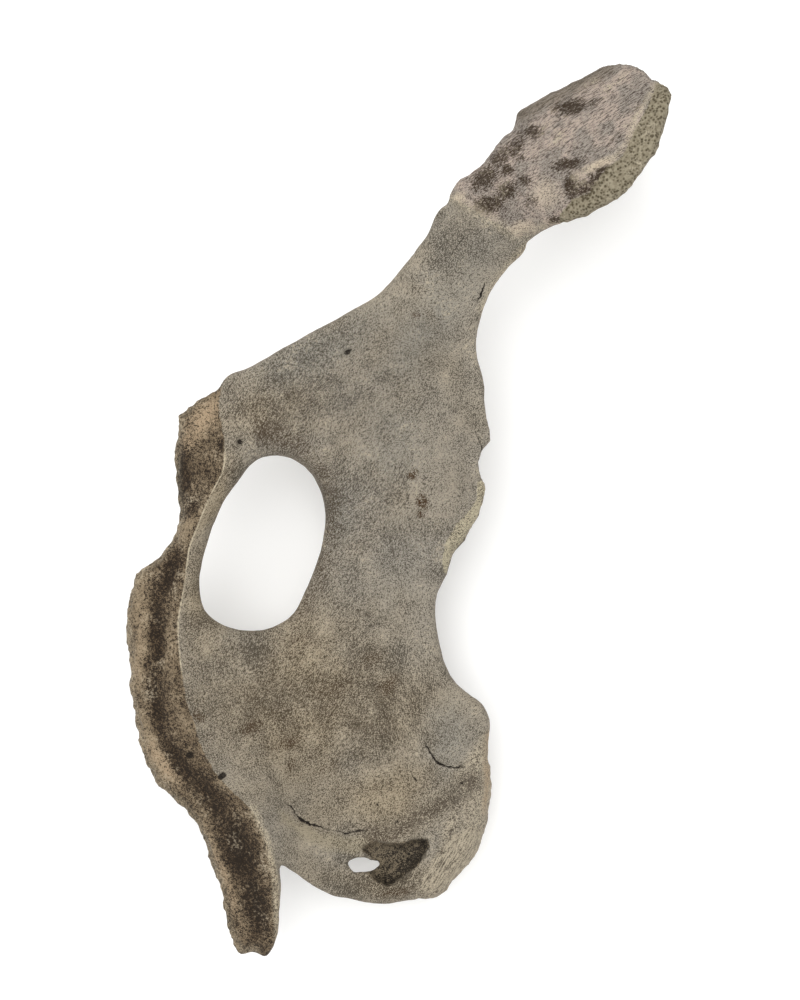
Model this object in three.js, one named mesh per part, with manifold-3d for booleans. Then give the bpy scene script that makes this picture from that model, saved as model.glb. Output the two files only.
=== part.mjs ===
// Right hip bone of a cow: ilium, pubis and ischium, lying on its outer side with the pelvic face up.
// Plan positions are drawn as an eye straight above the bone sees them, X to the right and Y away from
// the viewer's feet, and are drawn in towards that eye's axis to their true places at the end.
import * as THREE from "three";
import { mergeVertices } from "three/addons/utils/BufferGeometryUtils.js";
import Module from "manifold-3d";

const wasm = await Module();
wasm.setup();

// Driving dimensions, in millimetres
const EYE_HEIGHT = 1200;
const KERF = 0.3;
const RAY_SPACING = 13;
const OUTLINE_STEPS = 3;
const FORAMEN_STEPS = 6;
const CREST_STEPS = 4;
const RIM_STEPS = [1.2, 5];
const RIM_SHARE = 1 / 3;
const INNER_STEPS = 8;
const OUTER_STEPS = 2;
const EDGE_BAND = 18;
const BAND_SHARE = 0.4;
const CREST_FIRST = 0.2;
const CREST_LAST = 0.9;
const GUIDE_PASSES = 3;
const WING_STEPS = 14;
const WING_ACROSS = 9;
const BLUNT_TIP = 0.45;
const RIM_ROUND = 4;
const RIM_ROUND_PER_HALF = 0.3;
const CREASE = 3;
const LEAST_THICKNESS = 6;
const SURVEY_UNIT = 100;
const TINY = 1e-9;
const MERGE_DISTANCE = 1e-4;
const BLOCK_REACH = 900;
const LEAST_PIECE = 2000;

// Outer outline, one list for each border, clockwise as seen. "from" is the direction, in degrees round the
// obturator foramen, that the border's first point is seen in from the foramen.
const BORDERS = [
  { name: "pubic border", from: 112, points: [[-110, 65.5], [-103, 75], [-89, 80.5], [-72, 90.5],
    [-51, 102], [-30, 113.5], [-13, 124]] },
  { name: "front of the shaft", from: 69, points: [[1, 139], [15.5, 158], [28, 177]] },
  { name: "front of the wing", from: 46, points: [[31, 185], [35.5, 192], [47, 199], [60, 216],
    [69.5, 224.5], [70, 230.5], [81, 239.5], [105, 251], [122.5, 260.5]] },
  { name: "iliac crest", from: 44, points: [[135, 262], [148, 257], [154, 251], [161, 249.5]] },
  { name: "back of the wing", from: 42, points: [[164.5, 244], [161, 231], [156, 211], [147, 197.5],
    [137, 185], [122, 175], [107, 167.5], [91, 164]] },
  { name: "greater sciatic notch", from: 36, points: [[75.5, 154], [65, 139], [55, 125.5], [48.5, 109],
    [46, 92.5]] },
  { name: "ischiatic spine", from: 20, points: [[49, 72], [52, 51], [54.5, 36.5], [49, 28], [48, 15.5],
    [51, 9.5], [49, -5], [40, -21], [30, -36], [27.5, -45]] },
  { name: "lesser sciatic notch", from: -22, points: [[22, -58], [21, -69.5], [23.5, -87.5], [30, -105],
    [39.5, -115], [49, -122]] },
  { name: "ischial tuber", from: -50, points: [[54, -132], [53.5, -144], [52, -155], [53.5, -169],
    [51, -192], [45.5, -211], [33, -227], [23, -238], [6, -240], [-12, -242.5], [-30, -239.5], [-40, -238],
    [-55, -230]] },
  { name: "ischial arch", from: -103, points: [[-72, -218.5]] },
  { name: "end of the symphysis", from: -110, points: [[-71.5, -228], [-72.5, -243], [-74.5, -263],
    [-81, -273.5], [-87, -270], [-95.5, -270.5], [-102.5, -258], [-107, -237], [-114, -215], [-120, -197.5],
    [-134, -180.5], [-145, -172]] },
  { name: "symphysis", from: -143, points: [[-151, -159.5], [-156.5, -143], [-161, -117.5], [-162, -93],
    [-164, -69], [-161.5, -54.5], [-156, -42], [-145, -34], [-135, -20], [-131.5, -7], [-134, 6],
    [-134.5, 30], [-132, 49], [-123, 59]] },
];
const FULL_TURN = 360;
const WING_BORDERS = ["front of the wing", "iliac crest", "back of the wing"];

// Obturator foramen: its middle and its rim, anticlockwise from the right
const FORAMEN_MIDDLE = [-83, -26];
const FORAMEN_RIM = [[-45, -5], [-50.5, 12], [-60, 22], [-74.5, 26.5], [-87.5, 23], [-98.5, 9.5],
  [-108.5, -6.5], [-116.5, -27], [-120.5, -52], [-116.5, -67], [-102, -76], [-83, -77.5], [-66, -69.5],
  [-55, -50], [-47.5, -28]];

// Neck of the ilium, the line across the shaft where the wing begins
const NECK = [[24, 172], [66, 141]];

// Dorsal border of the symphysis, where its slanted face breaks away from the pelvic floor: X, Y, lower face
const SYMPHYSIS_CREST = [[-109, 57.5, 82], [-105.5, 36, 72], [-107, 15.5, 71], [-116.5, -3.5, 67],
  [-126, -27.5, 63], [-133, -72, 57], [-131.5, -99, 55], [-127, -123, 54], [-118, -150, 55], [-105, -171, 57],
  [-90, -185, 60], [-80.5, -203, 60], [-74.5, -221, 60], [-72.5, -243, 57]];
const FACE_LEVEL = 82;
const FACE_FOOT_X = -132;
const FACE_SLOPE = 0.55;
const FACE_BEND_Y = -120;
const FACE_BEND = 0.3;

// Landmark heights: X, Y, upper face, lower face
const LANDMARKS = [
  // pubis
  [-110, 65, 96, 84], [-96, 77, 95, 82], [-60, 95, 89, 76], [-21, 119, 87, 72], [-83, 54, 92, 74],
  [-42, 78, 82, 62],
  // ventral border of the symphysis, whose upper height is the pelvic floor carried on past the crest
  [-133, 30, 106, 68], [-132, -7, 98, 66], [-163, -72, 100, 48], [-158, -132, 98, 46], [-141, -175, 100, 46],
  [-113, -217, 98, 48], [-99, -267, 92, 45],
  // rim of the foramen
  [-75, 26, 84, 70], [-44, -12, 62, 40], [-66, -72, 58, 44], [-93, -79, 66, 52], [-121, -51, 80, 66],
  [-103, 6, 88, 74],
  // floor of the acetabulum
  [2, 41, 62, 14], [-36, 44, 70, 22], [22, 78, 72, 22], [-18, -2, 62, 15], [33, 8, 68, 26],
  // ischiatic spine
  [53, 39, 84, 75], [47, 90, 86, 77], [50, 9, 82, 73], [31, -36, 66, 52],
  // body and plate of the ischium
  [-9, -42, 58, 28], [22, -67, 60, 44], [28, -99, 58, 40], [-6, -90, 54, 28], [-42, -120, 50, 39],
  [-90, -120, 62, 51], [0, -144, 50, 34], [-42, -168, 49, 38],
  // ischial tuber and arch
  [-66, -208, 71, 56], [-42, -237, 54, 42], [-6, -240, 50, 34], [24, -236, 52, 22], [51, -200, 58, 10],
  [53, -138, 60, 36], [40, -192, 57, -3], [-6, -204, 50, 32],
  // shaft of the ilium
  [18, 111, 88, 52], [1, 139, 88, 76], [23, 168, 94, 82], [42, 153, 101, 70], [60, 132, 92, 80],
  [49, 114, 88, 76],
  // wing of the ilium
  [34, 190, 106, 90], [70, 228, 114, 94], [124, 260, 126, 104], [144, 259, 140, 118], [164, 244, 158, 138],
  [156, 211, 166, 146], [132, 180, 158, 140], [99, 165, 138, 122], [76, 154, 112, 98], [60, 186, 120, 96],
  [96, 210, 138, 110], [126, 222, 150, 124],
];

// Wing plate under the wing's face, down to the coxal tuber: station height, start and end along the wing,
// thickness
const WING_ROOT = [42, 171];
const WING_TURN = 35;
const WING_STATIONS = [
  [136, 14, 106, 40], [112, 8, 107, 28], [92, 8, 108, 18], [72, 20, 110, 15], [52, 36, 112, 17],
  [34, 45, 116, 26], [18, 48, 119, 35], [7, 51, 118, 34], [2, 57, 113, 27], [0, 65, 106, 18],
];
const WING_SIDES = 24;
const PLATE_CORNER = 3;
const PLATE_SUNK = 9;

// Acetabulum: socket under the meeting of the three bones, tilted so that one side of its rim touches down
const SOCKET_MIDDLE = [2, 41];
const SOCKET_RADIUS = 35;
const SOCKET_CENTRE_Z = 5;
const SOCKET_TILT = 5;
const FOSSA_RADIUS = 17;
const FOSSA_CENTRE_Z = 28;
const RIM_RADIUS = 45;
const WALL_PROFILE = [[0, 2.5], [40, 2.5], [44, 5.5], [45, 10.5], [45.5, 20], [44, 32], [36, 46], [0, 46]];
const NOTCH_LENGTH = 63;
const NOTCH_WIDTH = 22;
const NOTCH_HEIGHT = 17;
const NOTCH_TURN = 222;
const ROUND_SIDES = 32;

// Broken hole and pit in the caudal border of the ischium
const HOLE_MIDDLE = [-22, -219];
const HOLE_SIZE = [19, 8.5];
const HOLE_SIDES = 14;
const PIT_OUTLINE = [[-23, -209], [-18, -205], [0, -206], [13, -203], [17, -206], [12, -217], [2, -227],
  [-8, -231], [-15, -228], [-20, -222]];
const PIT_FLOOR_Z = 42;

// Thin cuts along the growth lines, each a run of points: ilium from pubis, ilium from ischium, pubis from
// ischium on both sides of the foramen, and the growth line of the ischial tuber
const SUTURES = [
  [SOCKET_MIDDLE, [-60, 132]],
  [SOCKET_MIDDLE, [84, 29]],
  [SOCKET_MIDDLE, FORAMEN_MIDDLE],
  [FORAMEN_MIDDLE, [-180, -54]],
  [[-71, -232], [-67, -202], [-58, -194], [-17, -200], [24, -180], [70, -145]],
];
const CUT_HIGH = 220;
const COXAL_CUT_MIDDLE = [110, 219];
const COXAL_CUT_Z = 43;
const COXAL_CUT_REACH = 90;

// Named pieces: a place inside each, and its colour and roughness
const PIECES = [
  { name: "ilium_wing", place: [100, 208, 122], colour: 0x9d9186, roughness: 0.85 },
  { name: "tuber_coxae", place: [...COXAL_CUT_MIDDLE, 18], colour: 0x8f857a, roughness: 0.88 },
  { name: "ilium_body", place: [25, 110, 70], colour: 0x87817a, roughness: 0.8 },
  { name: "pubis", place: [-75, 55, 80], colour: 0x8a8276, roughness: 0.8 },
  { name: "ischium", place: [-30, -120, 45], colour: 0x8c8270, roughness: 0.8 },
  { name: "ischial_tuber", place: [10, -205, 35], colour: 0x988d7a, roughness: 0.88 },
];

const radians = (degrees) => THREE.MathUtils.degToRad(degrees);
const mix = (a, b, t) => a + (b - a) * t;
const flat = ([x, y]) => new THREE.Vector2(x, y);

// Closed or open smooth curve through plan points
function smoothCurve(points, closed) {
  return new THREE.CatmullRomCurve3(points.map(([x, y]) => new THREE.Vector3(x, y, 0)), closed);
}

// The same curve as a run of points, with a number of steps for each stretch
function smoothRun(points, closed, stepsPerStretch) {
  const curve = smoothCurve(points, closed);
  const stretches = closed ? points.length : points.length - 1;
  return curve.getPoints(stretches * stepsPerStretch).map((p) => new THREE.Vector2(p.x, p.y));
}

const foramenRim = smoothRun(FORAMEN_RIM, true, FORAMEN_STEPS);
const symphysisCrest = smoothRun(SYMPHYSIS_CREST, false, CREST_STEPS);

// Point of the foramen rim in one direction from its middle
function onForamenRim(direction) {
  const middle = flat(FORAMEN_MIDDLE);
  const reach = new THREE.Vector2(Math.cos(radians(direction)), Math.sin(radians(direction)));
  const far = reach.multiplyScalar(BLOCK_REACH).add(middle);
  return crossing(middle, far, foramenRim).point;
}

// First crossing of a straight line with a run of points, and how far along the line it lies
function crossing(start, end, run) {
  const along = end.clone().sub(start);
  for (let k = 0; k + 1 < run.length; k += 1) {
    const side = run[k + 1].clone().sub(run[k]);
    const scale = along.cross(side);
    const toRun = run[k].clone().sub(start);
    const t = toRun.cross(side) / scale;
    const s = toRun.cross(along) / scale;
    if (t >= 0 && t <= 1 && s >= 0 && s <= 1) {
      return { point: start.clone().addScaledVector(along, t), t };
    }
  }
  return null;
}

// Corners of the outer outline in order, each with its direction from the foramen
const corners = BORDERS.flatMap((border, b) => {
  const next = b + 1 < BORDERS.length ? BORDERS[b + 1].from : BORDERS[0].from - FULL_TURN;
  return border.points.map((point, k) => ({
    place: flat(point),
    border: border.name,
    direction: mix(border.from, next, k / border.points.length),
  }));
});
const outline = smoothRun(BORDERS.flatMap((border) => border.points), true, OUTLINE_STEPS);

// Straight rays from the foramen rim to the outline, which runs across the shaft just past the neck
function makeRays() {
  const shaft = corners.filter(({ border }) => !WING_BORDERS.includes(border));
  const curve = smoothCurve(shaft.map(({ place }) => place.toArray()), true);
  const rays = [];
  shaft.forEach((corner, k) => {
    const after = shaft[(k + 1) % shaft.length];
    const endDirection = k + 1 < shaft.length ? after.direction : BORDERS[0].from - FULL_TURN;
    const steps = Math.max(1, Math.round(corner.place.distanceTo(after.place) / RAY_SPACING));
    for (let step = 0; step < steps; step += 1) {
      const t = step / steps;
      const place = curve.getPoint((k + t) / shaft.length);
      const outer = new THREE.Vector2(place.x, place.y);
      const inner = onForamenRim(mix(corner.direction, endDirection, t));
      rays.push({ inner, outer, crest: crossing(inner, outer, symphysisCrest) });
    }
  });
  setGuides(rays);
  return rays;
}

// A ray bends at its guide: where it crosses the crest of the symphysis, or else a band's width in from the
// outline, half square to it and half along the ray, so that no ray runs along an edge
function setGuides(rays) {
  const at = (k) => rays[(k + rays.length) % rays.length];
  rays.forEach((ray, k) => {
    const along = at(k + 1).outer.clone().sub(at(k - 1).outer).normalize();
    const back = ray.inner.clone().sub(ray.outer);
    const inward = new THREE.Vector2(along.y, -along.x).add(back.clone().normalize()).normalize();
    const band = ray.outer.clone().addScaledVector(inward, Math.min(EDGE_BAND, BAND_SHARE * back.length()));
    ray.onCrest = ray.crest !== null && ray.crest.t > CREST_FIRST && ray.crest.t < CREST_LAST;
    ray.guide = ray.onCrest ? ray.crest.point : band;
  });
  for (let pass = 0; pass < GUIDE_PASSES; pass += 1) {
    const evened = rays.map(({ guide }, k) =>
      at(k - 1).guide.clone().add(at(k + 1).guide).multiplyScalar(0.5).lerp(guide, 0.5));
    rays.forEach((ray, k) => {
      if (!ray.onCrest) ray.guide = evened[k];
    });
  }
}

// Slanted face of the symphysis, bending down towards its caudal end
function symphysisFace(x, y) {
  return FACE_LEVEL + FACE_SLOPE * (x - FACE_FOOT_X) - FACE_BEND * Math.max(0, FACE_BEND_Y - y);
}

// Thin-plate surface through one column of the surveyed heights
function heightSurface(column) {
  const sites = survey.map(([x, y]) => [x / SURVEY_UNIT, y / SURVEY_UNIT]);
  const bend = (ax, ay, bx, by) => {
    const square = (ax - bx) ** 2 + (ay - by) ** 2;
    return square > 0 ? square * Math.log(square) : 0;
  };
  const size = sites.length + 3;
  const rows = Array.from({ length: size }, () => new Array(size + 1).fill(0));
  sites.forEach(([x, y], i) => {
    sites.forEach(([u, v], j) => {
      rows[i][j] = bend(x, y, u, v);
    });
    [1, x, y].forEach((term, k) => {
      rows[i][sites.length + k] = term;
      rows[sites.length + k][i] = term;
    });
    rows[i][size] = survey[i][column];
  });
  const weights = solve(rows);
  return (X, Y) => {
    const x = X / SURVEY_UNIT;
    const y = Y / SURVEY_UNIT;
    const plane = weights[size - 3] + weights[size - 2] * x + weights[size - 1] * y;
    return sites.reduce((sum, [u, v], i) => sum + weights[i] * bend(x, y, u, v), plane);
  };
}

// Gaussian elimination with row exchange
function solve(rows) {
  const size = rows.length;
  for (let pivot = 0; pivot < size; pivot += 1) {
    let best = pivot;
    for (let row = pivot + 1; row < size; row += 1) {
      if (Math.abs(rows[row][pivot]) > Math.abs(rows[best][pivot])) best = row;
    }
    [rows[pivot], rows[best]] = [rows[best], rows[pivot]];
    for (let row = 0; row < size; row += 1) {
      if (row === pivot) continue;
      const factor = rows[row][pivot] / rows[pivot][pivot];
      for (let k = pivot; k <= size; k += 1) rows[row][k] -= factor * rows[pivot][k];
    }
  }
  return rows.map((row, k) => row[size] / row[k]);
}

// Landmarks and the points of the crest, where floor and symphysis face are at one height
const survey = [...LANDMARKS, ...SYMPHYSIS_CREST.map(([x, y, low]) => [x, y, symphysisFace(x, y), low])];
const floorHeight = heightSurface(2);
const lowerHeight = heightSurface(3);

// Upper face: the lower of pelvic floor and symphysis face, with the crest between them slightly rounded
function upperHeight(x, y) {
  const floor = floorHeight(x, y);
  const face = symphysisFace(x, y);
  return (floor + face - Math.hypot(floor - face, CREASE)) / 2;
}

// Distance from a plan point to the nearest stretch of a closed run of points
function runDistance(place, run) {
  let nearest = Infinity;
  run.forEach((start, k) => {
    const side = run[(k + 1) % run.length].clone().sub(start);
    const lengthSq = Math.max(side.lengthSq(), TINY);
    const t = THREE.MathUtils.clamp(place.clone().sub(start).dot(side) / lengthSq, 0, 1);
    nearest = Math.min(nearest, place.distanceTo(start.clone().addScaledVector(side, t)));
  });
  return nearest;
}

// Distances from a rim at which a half ray carries its points
function spacing(length, evenSteps) {
  const rim = RIM_STEPS.map((step) => Math.min(step, (RIM_SHARE * length * step) / RIM_STEPS.at(-1)));
  const even = Array.from({ length: evenSteps }, (_, k) => mix(rim.at(-1), length, (k + 1) / evenSteps));
  return [0, ...rim, ...even];
}

// Plan points of a ray from rim to rim
function rayPlaces({ inner, guide, outer }) {
  const first = inner.distanceTo(guide);
  const second = guide.distanceTo(outer);
  const near = spacing(first, INNER_STEPS).map((d) => inner.clone().lerp(guide, d / first));
  const far = spacing(second, OUTER_STEPS).map((d) => outer.clone().lerp(guide, d / second)).reverse();
  return [...near, ...far.slice(1)];
}

// Section over a row of plan points: along the upper face, and back along the lower one. The faces close in
// a rounded rim at the bone's edge, or stay open by the blunt share of their gap.
function section(places, blunt) {
  const upper = [];
  const lower = [];
  places.forEach((place, k) => {
    const top = upperHeight(place.x, place.y);
    const bottom = Math.min(lowerHeight(place.x, place.y), top - LEAST_THICKNESS);
    const half = (top - bottom) / 2;
    const edge = Math.min(runDistance(place, outline), runDistance(place, foramenRim));
    const inward = Math.min(1, edge / (RIM_ROUND + RIM_ROUND_PER_HALF * half));
    const swell = half * Math.max(blunt, Math.sqrt(1 - (1 - inward) ** 2));
    const onRim = k === 0 || k + 1 === places.length;
    upper.push([place.x, place.y, (top + bottom) / 2 + (onRim ? 0 : swell)]);
    if (!onRim) lower.unshift([place.x, place.y, (top + bottom) / 2 - swell]);
  });
  return [...upper, ...lower];
}

// Main body: a ring round the foramen, one section on each ray
function mainBody() {
  const sections = makeRays().map((ray) => section(rayPlaces(ray), 0));
  return closedGrid(sections);
}

// Face of the wing: sections across it, stacked from the crest back to the shaft, on a patch between its four
// borders
function wingFace() {
  const border = (name) => BORDERS.find((one) => one.name === name).points;
  const front = [...border("front of the shaft").slice(-2), ...border("front of the wing")];
  const back = [...border("back of the wing"), ...border("greater sciatic notch").slice(0, 2)].reverse();
  const crest = [front.at(-1), ...border("iliac crest"), back.at(-1)];
  const [frontLine, backLine, crestLine] = [front, back, crest].map((points) => smoothCurve(points, false));
  const width = frontLine.getPointAt(0).distanceTo(backLine.getPointAt(0));
  const half = spacing(width / 2, Math.round(WING_ACROSS / 2)).map((d) => d / width);
  const across = [...half, ...half.slice(0, -1).reverse().map((t) => 1 - t)];
  const sections = Array.from({ length: WING_STEPS + 1 }, (_, k) => {
    const s = k / WING_STEPS;
    return section(across.map((t) => {
      const bulge = crestLine.getPointAt(t).sub(frontLine.getPointAt(1).lerp(backLine.getPointAt(1), t));
      const place = frontLine.getPointAt(s).lerp(backLine.getPointAt(s), t).addScaledVector(bulge, s);
      return new THREE.Vector2(place.x, place.y);
    }), s === 1 ? BLUNT_TIP : 0);
  });
  return closedStack(sections.reverse());
}

// Solid from a ring of closed sections
function closedGrid(sections) {
  const rows = sections.length;
  const columns = sections[0].length;
  const index = [];
  for (let row = 0; row < rows; row += 1) {
    for (let column = 0; column < columns; column += 1) {
      const a = row * columns + column;
      const b = ((row + 1) % rows) * columns + column;
      const c = ((row + 1) % rows) * columns + ((column + 1) % columns);
      const d = row * columns + ((column + 1) % columns);
      index.push(a, b, c, a, c, d);
    }
  }
  return solid(sections.flat(2), index);
}

// Solid from a stack of closed sections, with a fan over each end
function closedStack(sections) {
  const sides = sections[0].length;
  const positions = sections.flat(2);
  const index = [];
  for (let level = 0; level + 1 < sections.length; level += 1) {
    for (let side = 0; side < sides; side += 1) {
      const a = level * sides + side;
      const b = level * sides + ((side + 1) % sides);
      index.push(a, a + sides, b, b, a + sides, b + sides);
    }
  }
  const last = (sections.length - 1) * sides;
  for (let side = 1; side + 1 < sides; side += 1) {
    index.push(0, side, side + 1, last, last + side + 1, last + side);
  }
  return solid(positions, index);
}

function solid(positions, index) {
  return new wasm.Manifold(new wasm.Mesh({
    numProp: 3, vertProperties: new Float32Array(positions), triVerts: new Uint32Array(index),
  }));
}

// Solid from one of the ready-made shapes, after moving it into place
function solidFrom(geometry, matrix) {
  geometry.applyMatrix4(matrix);
  geometry.deleteAttribute("normal");
  geometry.deleteAttribute("uv");
  const merged = mergeVertices(geometry, MERGE_DISTANCE);
  return solid(merged.attributes.position.array, merged.index.array);
}

// Wing plate and coxal tuber: flattened rounded sections stacked from the wing's face down to the ground
function wingPlate() {
  const turn = radians(WING_TURN);
  const sections = WING_STATIONS.map(([z, start, end, thickness]) =>
    Array.from({ length: WING_SIDES }, (_, k) => {
      const angle = (2 * Math.PI * k) / WING_SIDES;
      const blunt = (value) => Math.sign(value) * Math.abs(value) ** (2 / PLATE_CORNER);
      const along = (start + end) / 2 + ((end - start) / 2) * blunt(Math.cos(angle));
      const aside = (thickness / 2) * blunt(Math.sin(angle));
      return [
        WING_ROOT[0] + along * Math.cos(turn) - aside * Math.sin(turn),
        WING_ROOT[1] + along * Math.sin(turn) + aside * Math.cos(turn),
        z,
      ];
    }));
  sections[0].forEach((place) => {
    place[2] = Math.min(place[2], upperHeight(place[0], place[1]) - PLATE_SUNK);
  });
  return closedStack(sections);
}

// Frame of the socket: its middle, tilted about an axis across the bone
function socketFrame(z) {
  return new THREE.Matrix4()
    .makeTranslation(SOCKET_MIDDLE[0], SOCKET_MIDDLE[1], z)
    .multiply(new THREE.Matrix4().makeRotationY(radians(-SOCKET_TILT)));
}

// Wall of the acetabulum round its socket, from the rim up into the body, where it flares
function socketWall() {
  const shape = new THREE.LatheGeometry(WALL_PROFILE.map(flat), ROUND_SIDES);
  const upright = new THREE.Matrix4().makeRotationX(Math.PI / 2);
  return solidFrom(shape, socketFrame(0).multiply(upright));
}

// Space of the socket: the hollow for the head of the femur, the fossa in its floor and the notch in its rim
function socketSpace() {
  const hollow = new THREE.SphereGeometry(SOCKET_RADIUS, ROUND_SIDES, ROUND_SIDES / 2);
  const fossa = new THREE.SphereGeometry(FOSSA_RADIUS, ROUND_SIDES / 2, ROUND_SIDES / 4);
  const notch = new THREE.BoxGeometry(NOTCH_LENGTH, NOTCH_WIDTH, NOTCH_HEIGHT * 2);
  notch.translate(NOTCH_LENGTH / 2, 0, 0);
  notch.rotateZ(radians(NOTCH_TURN));
  return solidFrom(hollow, socketFrame(SOCKET_CENTRE_Z))
    .add(solidFrom(fossa, socketFrame(FOSSA_CENTRE_Z)))
    .add(solidFrom(notch, socketFrame(0)));
}

// Upright prism over a plan outline
function prism(outline, low, high) {
  const shape = new THREE.ExtrudeGeometry(new THREE.Shape(outline.map(flat)), {
    depth: high - low, bevelEnabled: false,
  });
  return solidFrom(shape, new THREE.Matrix4().makeTranslation(0, 0, low));
}

// Broken hole right through the caudal border, and the pit beside it
function breakage() {
  const hole = new THREE.CylinderGeometry(0.5, 0.5, CUT_HIGH, HOLE_SIDES);
  hole.rotateX(Math.PI / 2);
  hole.scale(HOLE_SIZE[0], HOLE_SIZE[1], 1);
  const place = new THREE.Matrix4().makeTranslation(HOLE_MIDDLE[0], HOLE_MIDDLE[1], 0);
  return solidFrom(hole, place).add(prism(PIT_OUTLINE, PIT_FLOOR_Z, CUT_HIGH));
}

// Thin upright walls along the growth lines, and a level one over the coxal tuber
function sutureWalls() {
  const walls = SUTURES.flatMap((run) => run.slice(1).map((end, k) => {
    const start = flat(run[k]);
    const along = flat(end).sub(start);
    const wall = new THREE.BoxGeometry(along.length() + KERF, KERF, 2 * CUT_HIGH);
    const middle = start.clone().addScaledVector(along, 0.5);
    const matrix = new THREE.Matrix4().makeTranslation(middle.x, middle.y, 0)
      .multiply(new THREE.Matrix4().makeRotationZ(along.angle()));
    return solidFrom(wall, matrix);
  }));
  const coxal = new THREE.BoxGeometry(COXAL_CUT_REACH, COXAL_CUT_REACH, KERF);
  const place = new THREE.Matrix4().makeTranslation(...COXAL_CUT_MIDDLE, COXAL_CUT_Z);
  return walls.reduce((all, wall) => all.add(wall), solidFrom(coxal, place));
}

// Everything below the ground plane
function ground() {
  const block = new THREE.BoxGeometry(BLOCK_REACH, BLOCK_REACH, BLOCK_REACH);
  return solidFrom(block, new THREE.Matrix4().makeTranslation(0, 0, -BLOCK_REACH / 2));
}

// Space past the neck of the ilium: on the wing's side for 1, on the shaft's side for -1
function beyondNeck(side) {
  const along = flat(NECK[1]).sub(flat(NECK[0]));
  const block = new THREE.BoxGeometry(BLOCK_REACH, BLOCK_REACH, BLOCK_REACH);
  block.translate(0, side * (BLOCK_REACH / 2 - KERF / 2), 0);
  block.rotateZ(along.angle());
  return solidFrom(block, new THREE.Matrix4().makeTranslation(NECK[0][0], NECK[0][1], 0));
}

// Draws plan positions in towards the eye's axis, to their true places
function drawnIn(mesh) {
  const positions = Float32Array.from(mesh.vertProperties);
  for (let k = 0; k < positions.length; k += 3) {
    const shrink = 1 - positions[k + 2] / EYE_HEIGHT;
    positions[k] *= shrink;
    positions[k + 1] *= shrink;
  }
  const geometry = new THREE.BufferGeometry();
  geometry.setAttribute("position", new THREE.BufferAttribute(positions, 3));
  geometry.setIndex(new THREE.BufferAttribute(Uint32Array.from(mesh.triVerts), 1));
  return geometry;
}

// Part of the cut bone, scraps left out, whose middle is nearest to a piece's named place
function nearestPart(parts, piece) {
  const near = (part) => {
    const { min, max } = part.boundingBox();
    return Math.hypot(...piece.place.map((value, k) => (min[k] + max[k]) / 2 - value));
  };
  const owned = parts.filter((part) => part.volume() > LEAST_PIECE);
  return owned.reduce((best, part) => (near(part) < near(best) ? part : best));
}

function buildBone() {
  const body = mainBody().add(socketWall()).subtract(socketSpace()).subtract(breakage());
  const wing = wingFace().add(wingPlate());
  const parts = body.subtract(beyondNeck(1)).add(wing.subtract(beyondNeck(-1)))
    .subtract(sutureWalls()).subtract(ground()).decompose();
  const bone = new THREE.Group();
  PIECES.forEach((piece) => {
    const material = new THREE.MeshStandardMaterial({
      color: piece.colour, roughness: piece.roughness, metalness: 0,
    });
    const mesh = new THREE.Mesh(drawnIn(nearestPart(parts, piece).getMesh()), material);
    mesh.name = piece.name;
    bone.add(mesh);
  });
  const box = new THREE.Box3().setFromObject(bone);
  const middle = box.getCenter(new THREE.Vector3());
  bone.position.set(-middle.x, -middle.y, -box.min.z);
  return bone;
}

export default buildBone();
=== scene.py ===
import math

import bpy
import numpy as np
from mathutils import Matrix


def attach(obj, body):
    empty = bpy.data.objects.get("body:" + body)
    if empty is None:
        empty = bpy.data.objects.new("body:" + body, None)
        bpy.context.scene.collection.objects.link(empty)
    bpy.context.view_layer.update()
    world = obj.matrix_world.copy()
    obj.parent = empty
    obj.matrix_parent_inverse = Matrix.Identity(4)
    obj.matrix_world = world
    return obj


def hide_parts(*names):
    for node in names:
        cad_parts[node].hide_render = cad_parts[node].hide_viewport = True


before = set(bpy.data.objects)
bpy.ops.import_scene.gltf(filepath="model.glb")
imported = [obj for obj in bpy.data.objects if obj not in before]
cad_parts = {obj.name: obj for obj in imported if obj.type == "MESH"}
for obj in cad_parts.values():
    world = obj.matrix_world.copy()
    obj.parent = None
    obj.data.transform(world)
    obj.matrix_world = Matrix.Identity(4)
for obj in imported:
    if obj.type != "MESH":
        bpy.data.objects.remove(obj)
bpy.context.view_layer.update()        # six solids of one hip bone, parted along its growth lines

# The bone is drawn in millimetres as an eye straight above it sees it, X to the right and Y up the
# picture, and is drawn in towards the eye's axis to its true place at the end.
EYE_HEIGHT = 1200
AXIS_PLACE = (5.952, 8.291)
PICTURE_WIDTH = 800
PICTURE_HEIGHT = 1000
MM_PER_PIXEL = 0.6
MM = 0.001


def seen(*pixels):
    """Drawing places of picture pixels: their offset from the picture's middle times a pixel's size."""
    offset = np.array(pixels, float) - (PICTURE_WIDTH / 2, PICTURE_HEIGHT / 2)
    return offset * (MM_PER_PIXEL, -MM_PER_PIXEL)


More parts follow.
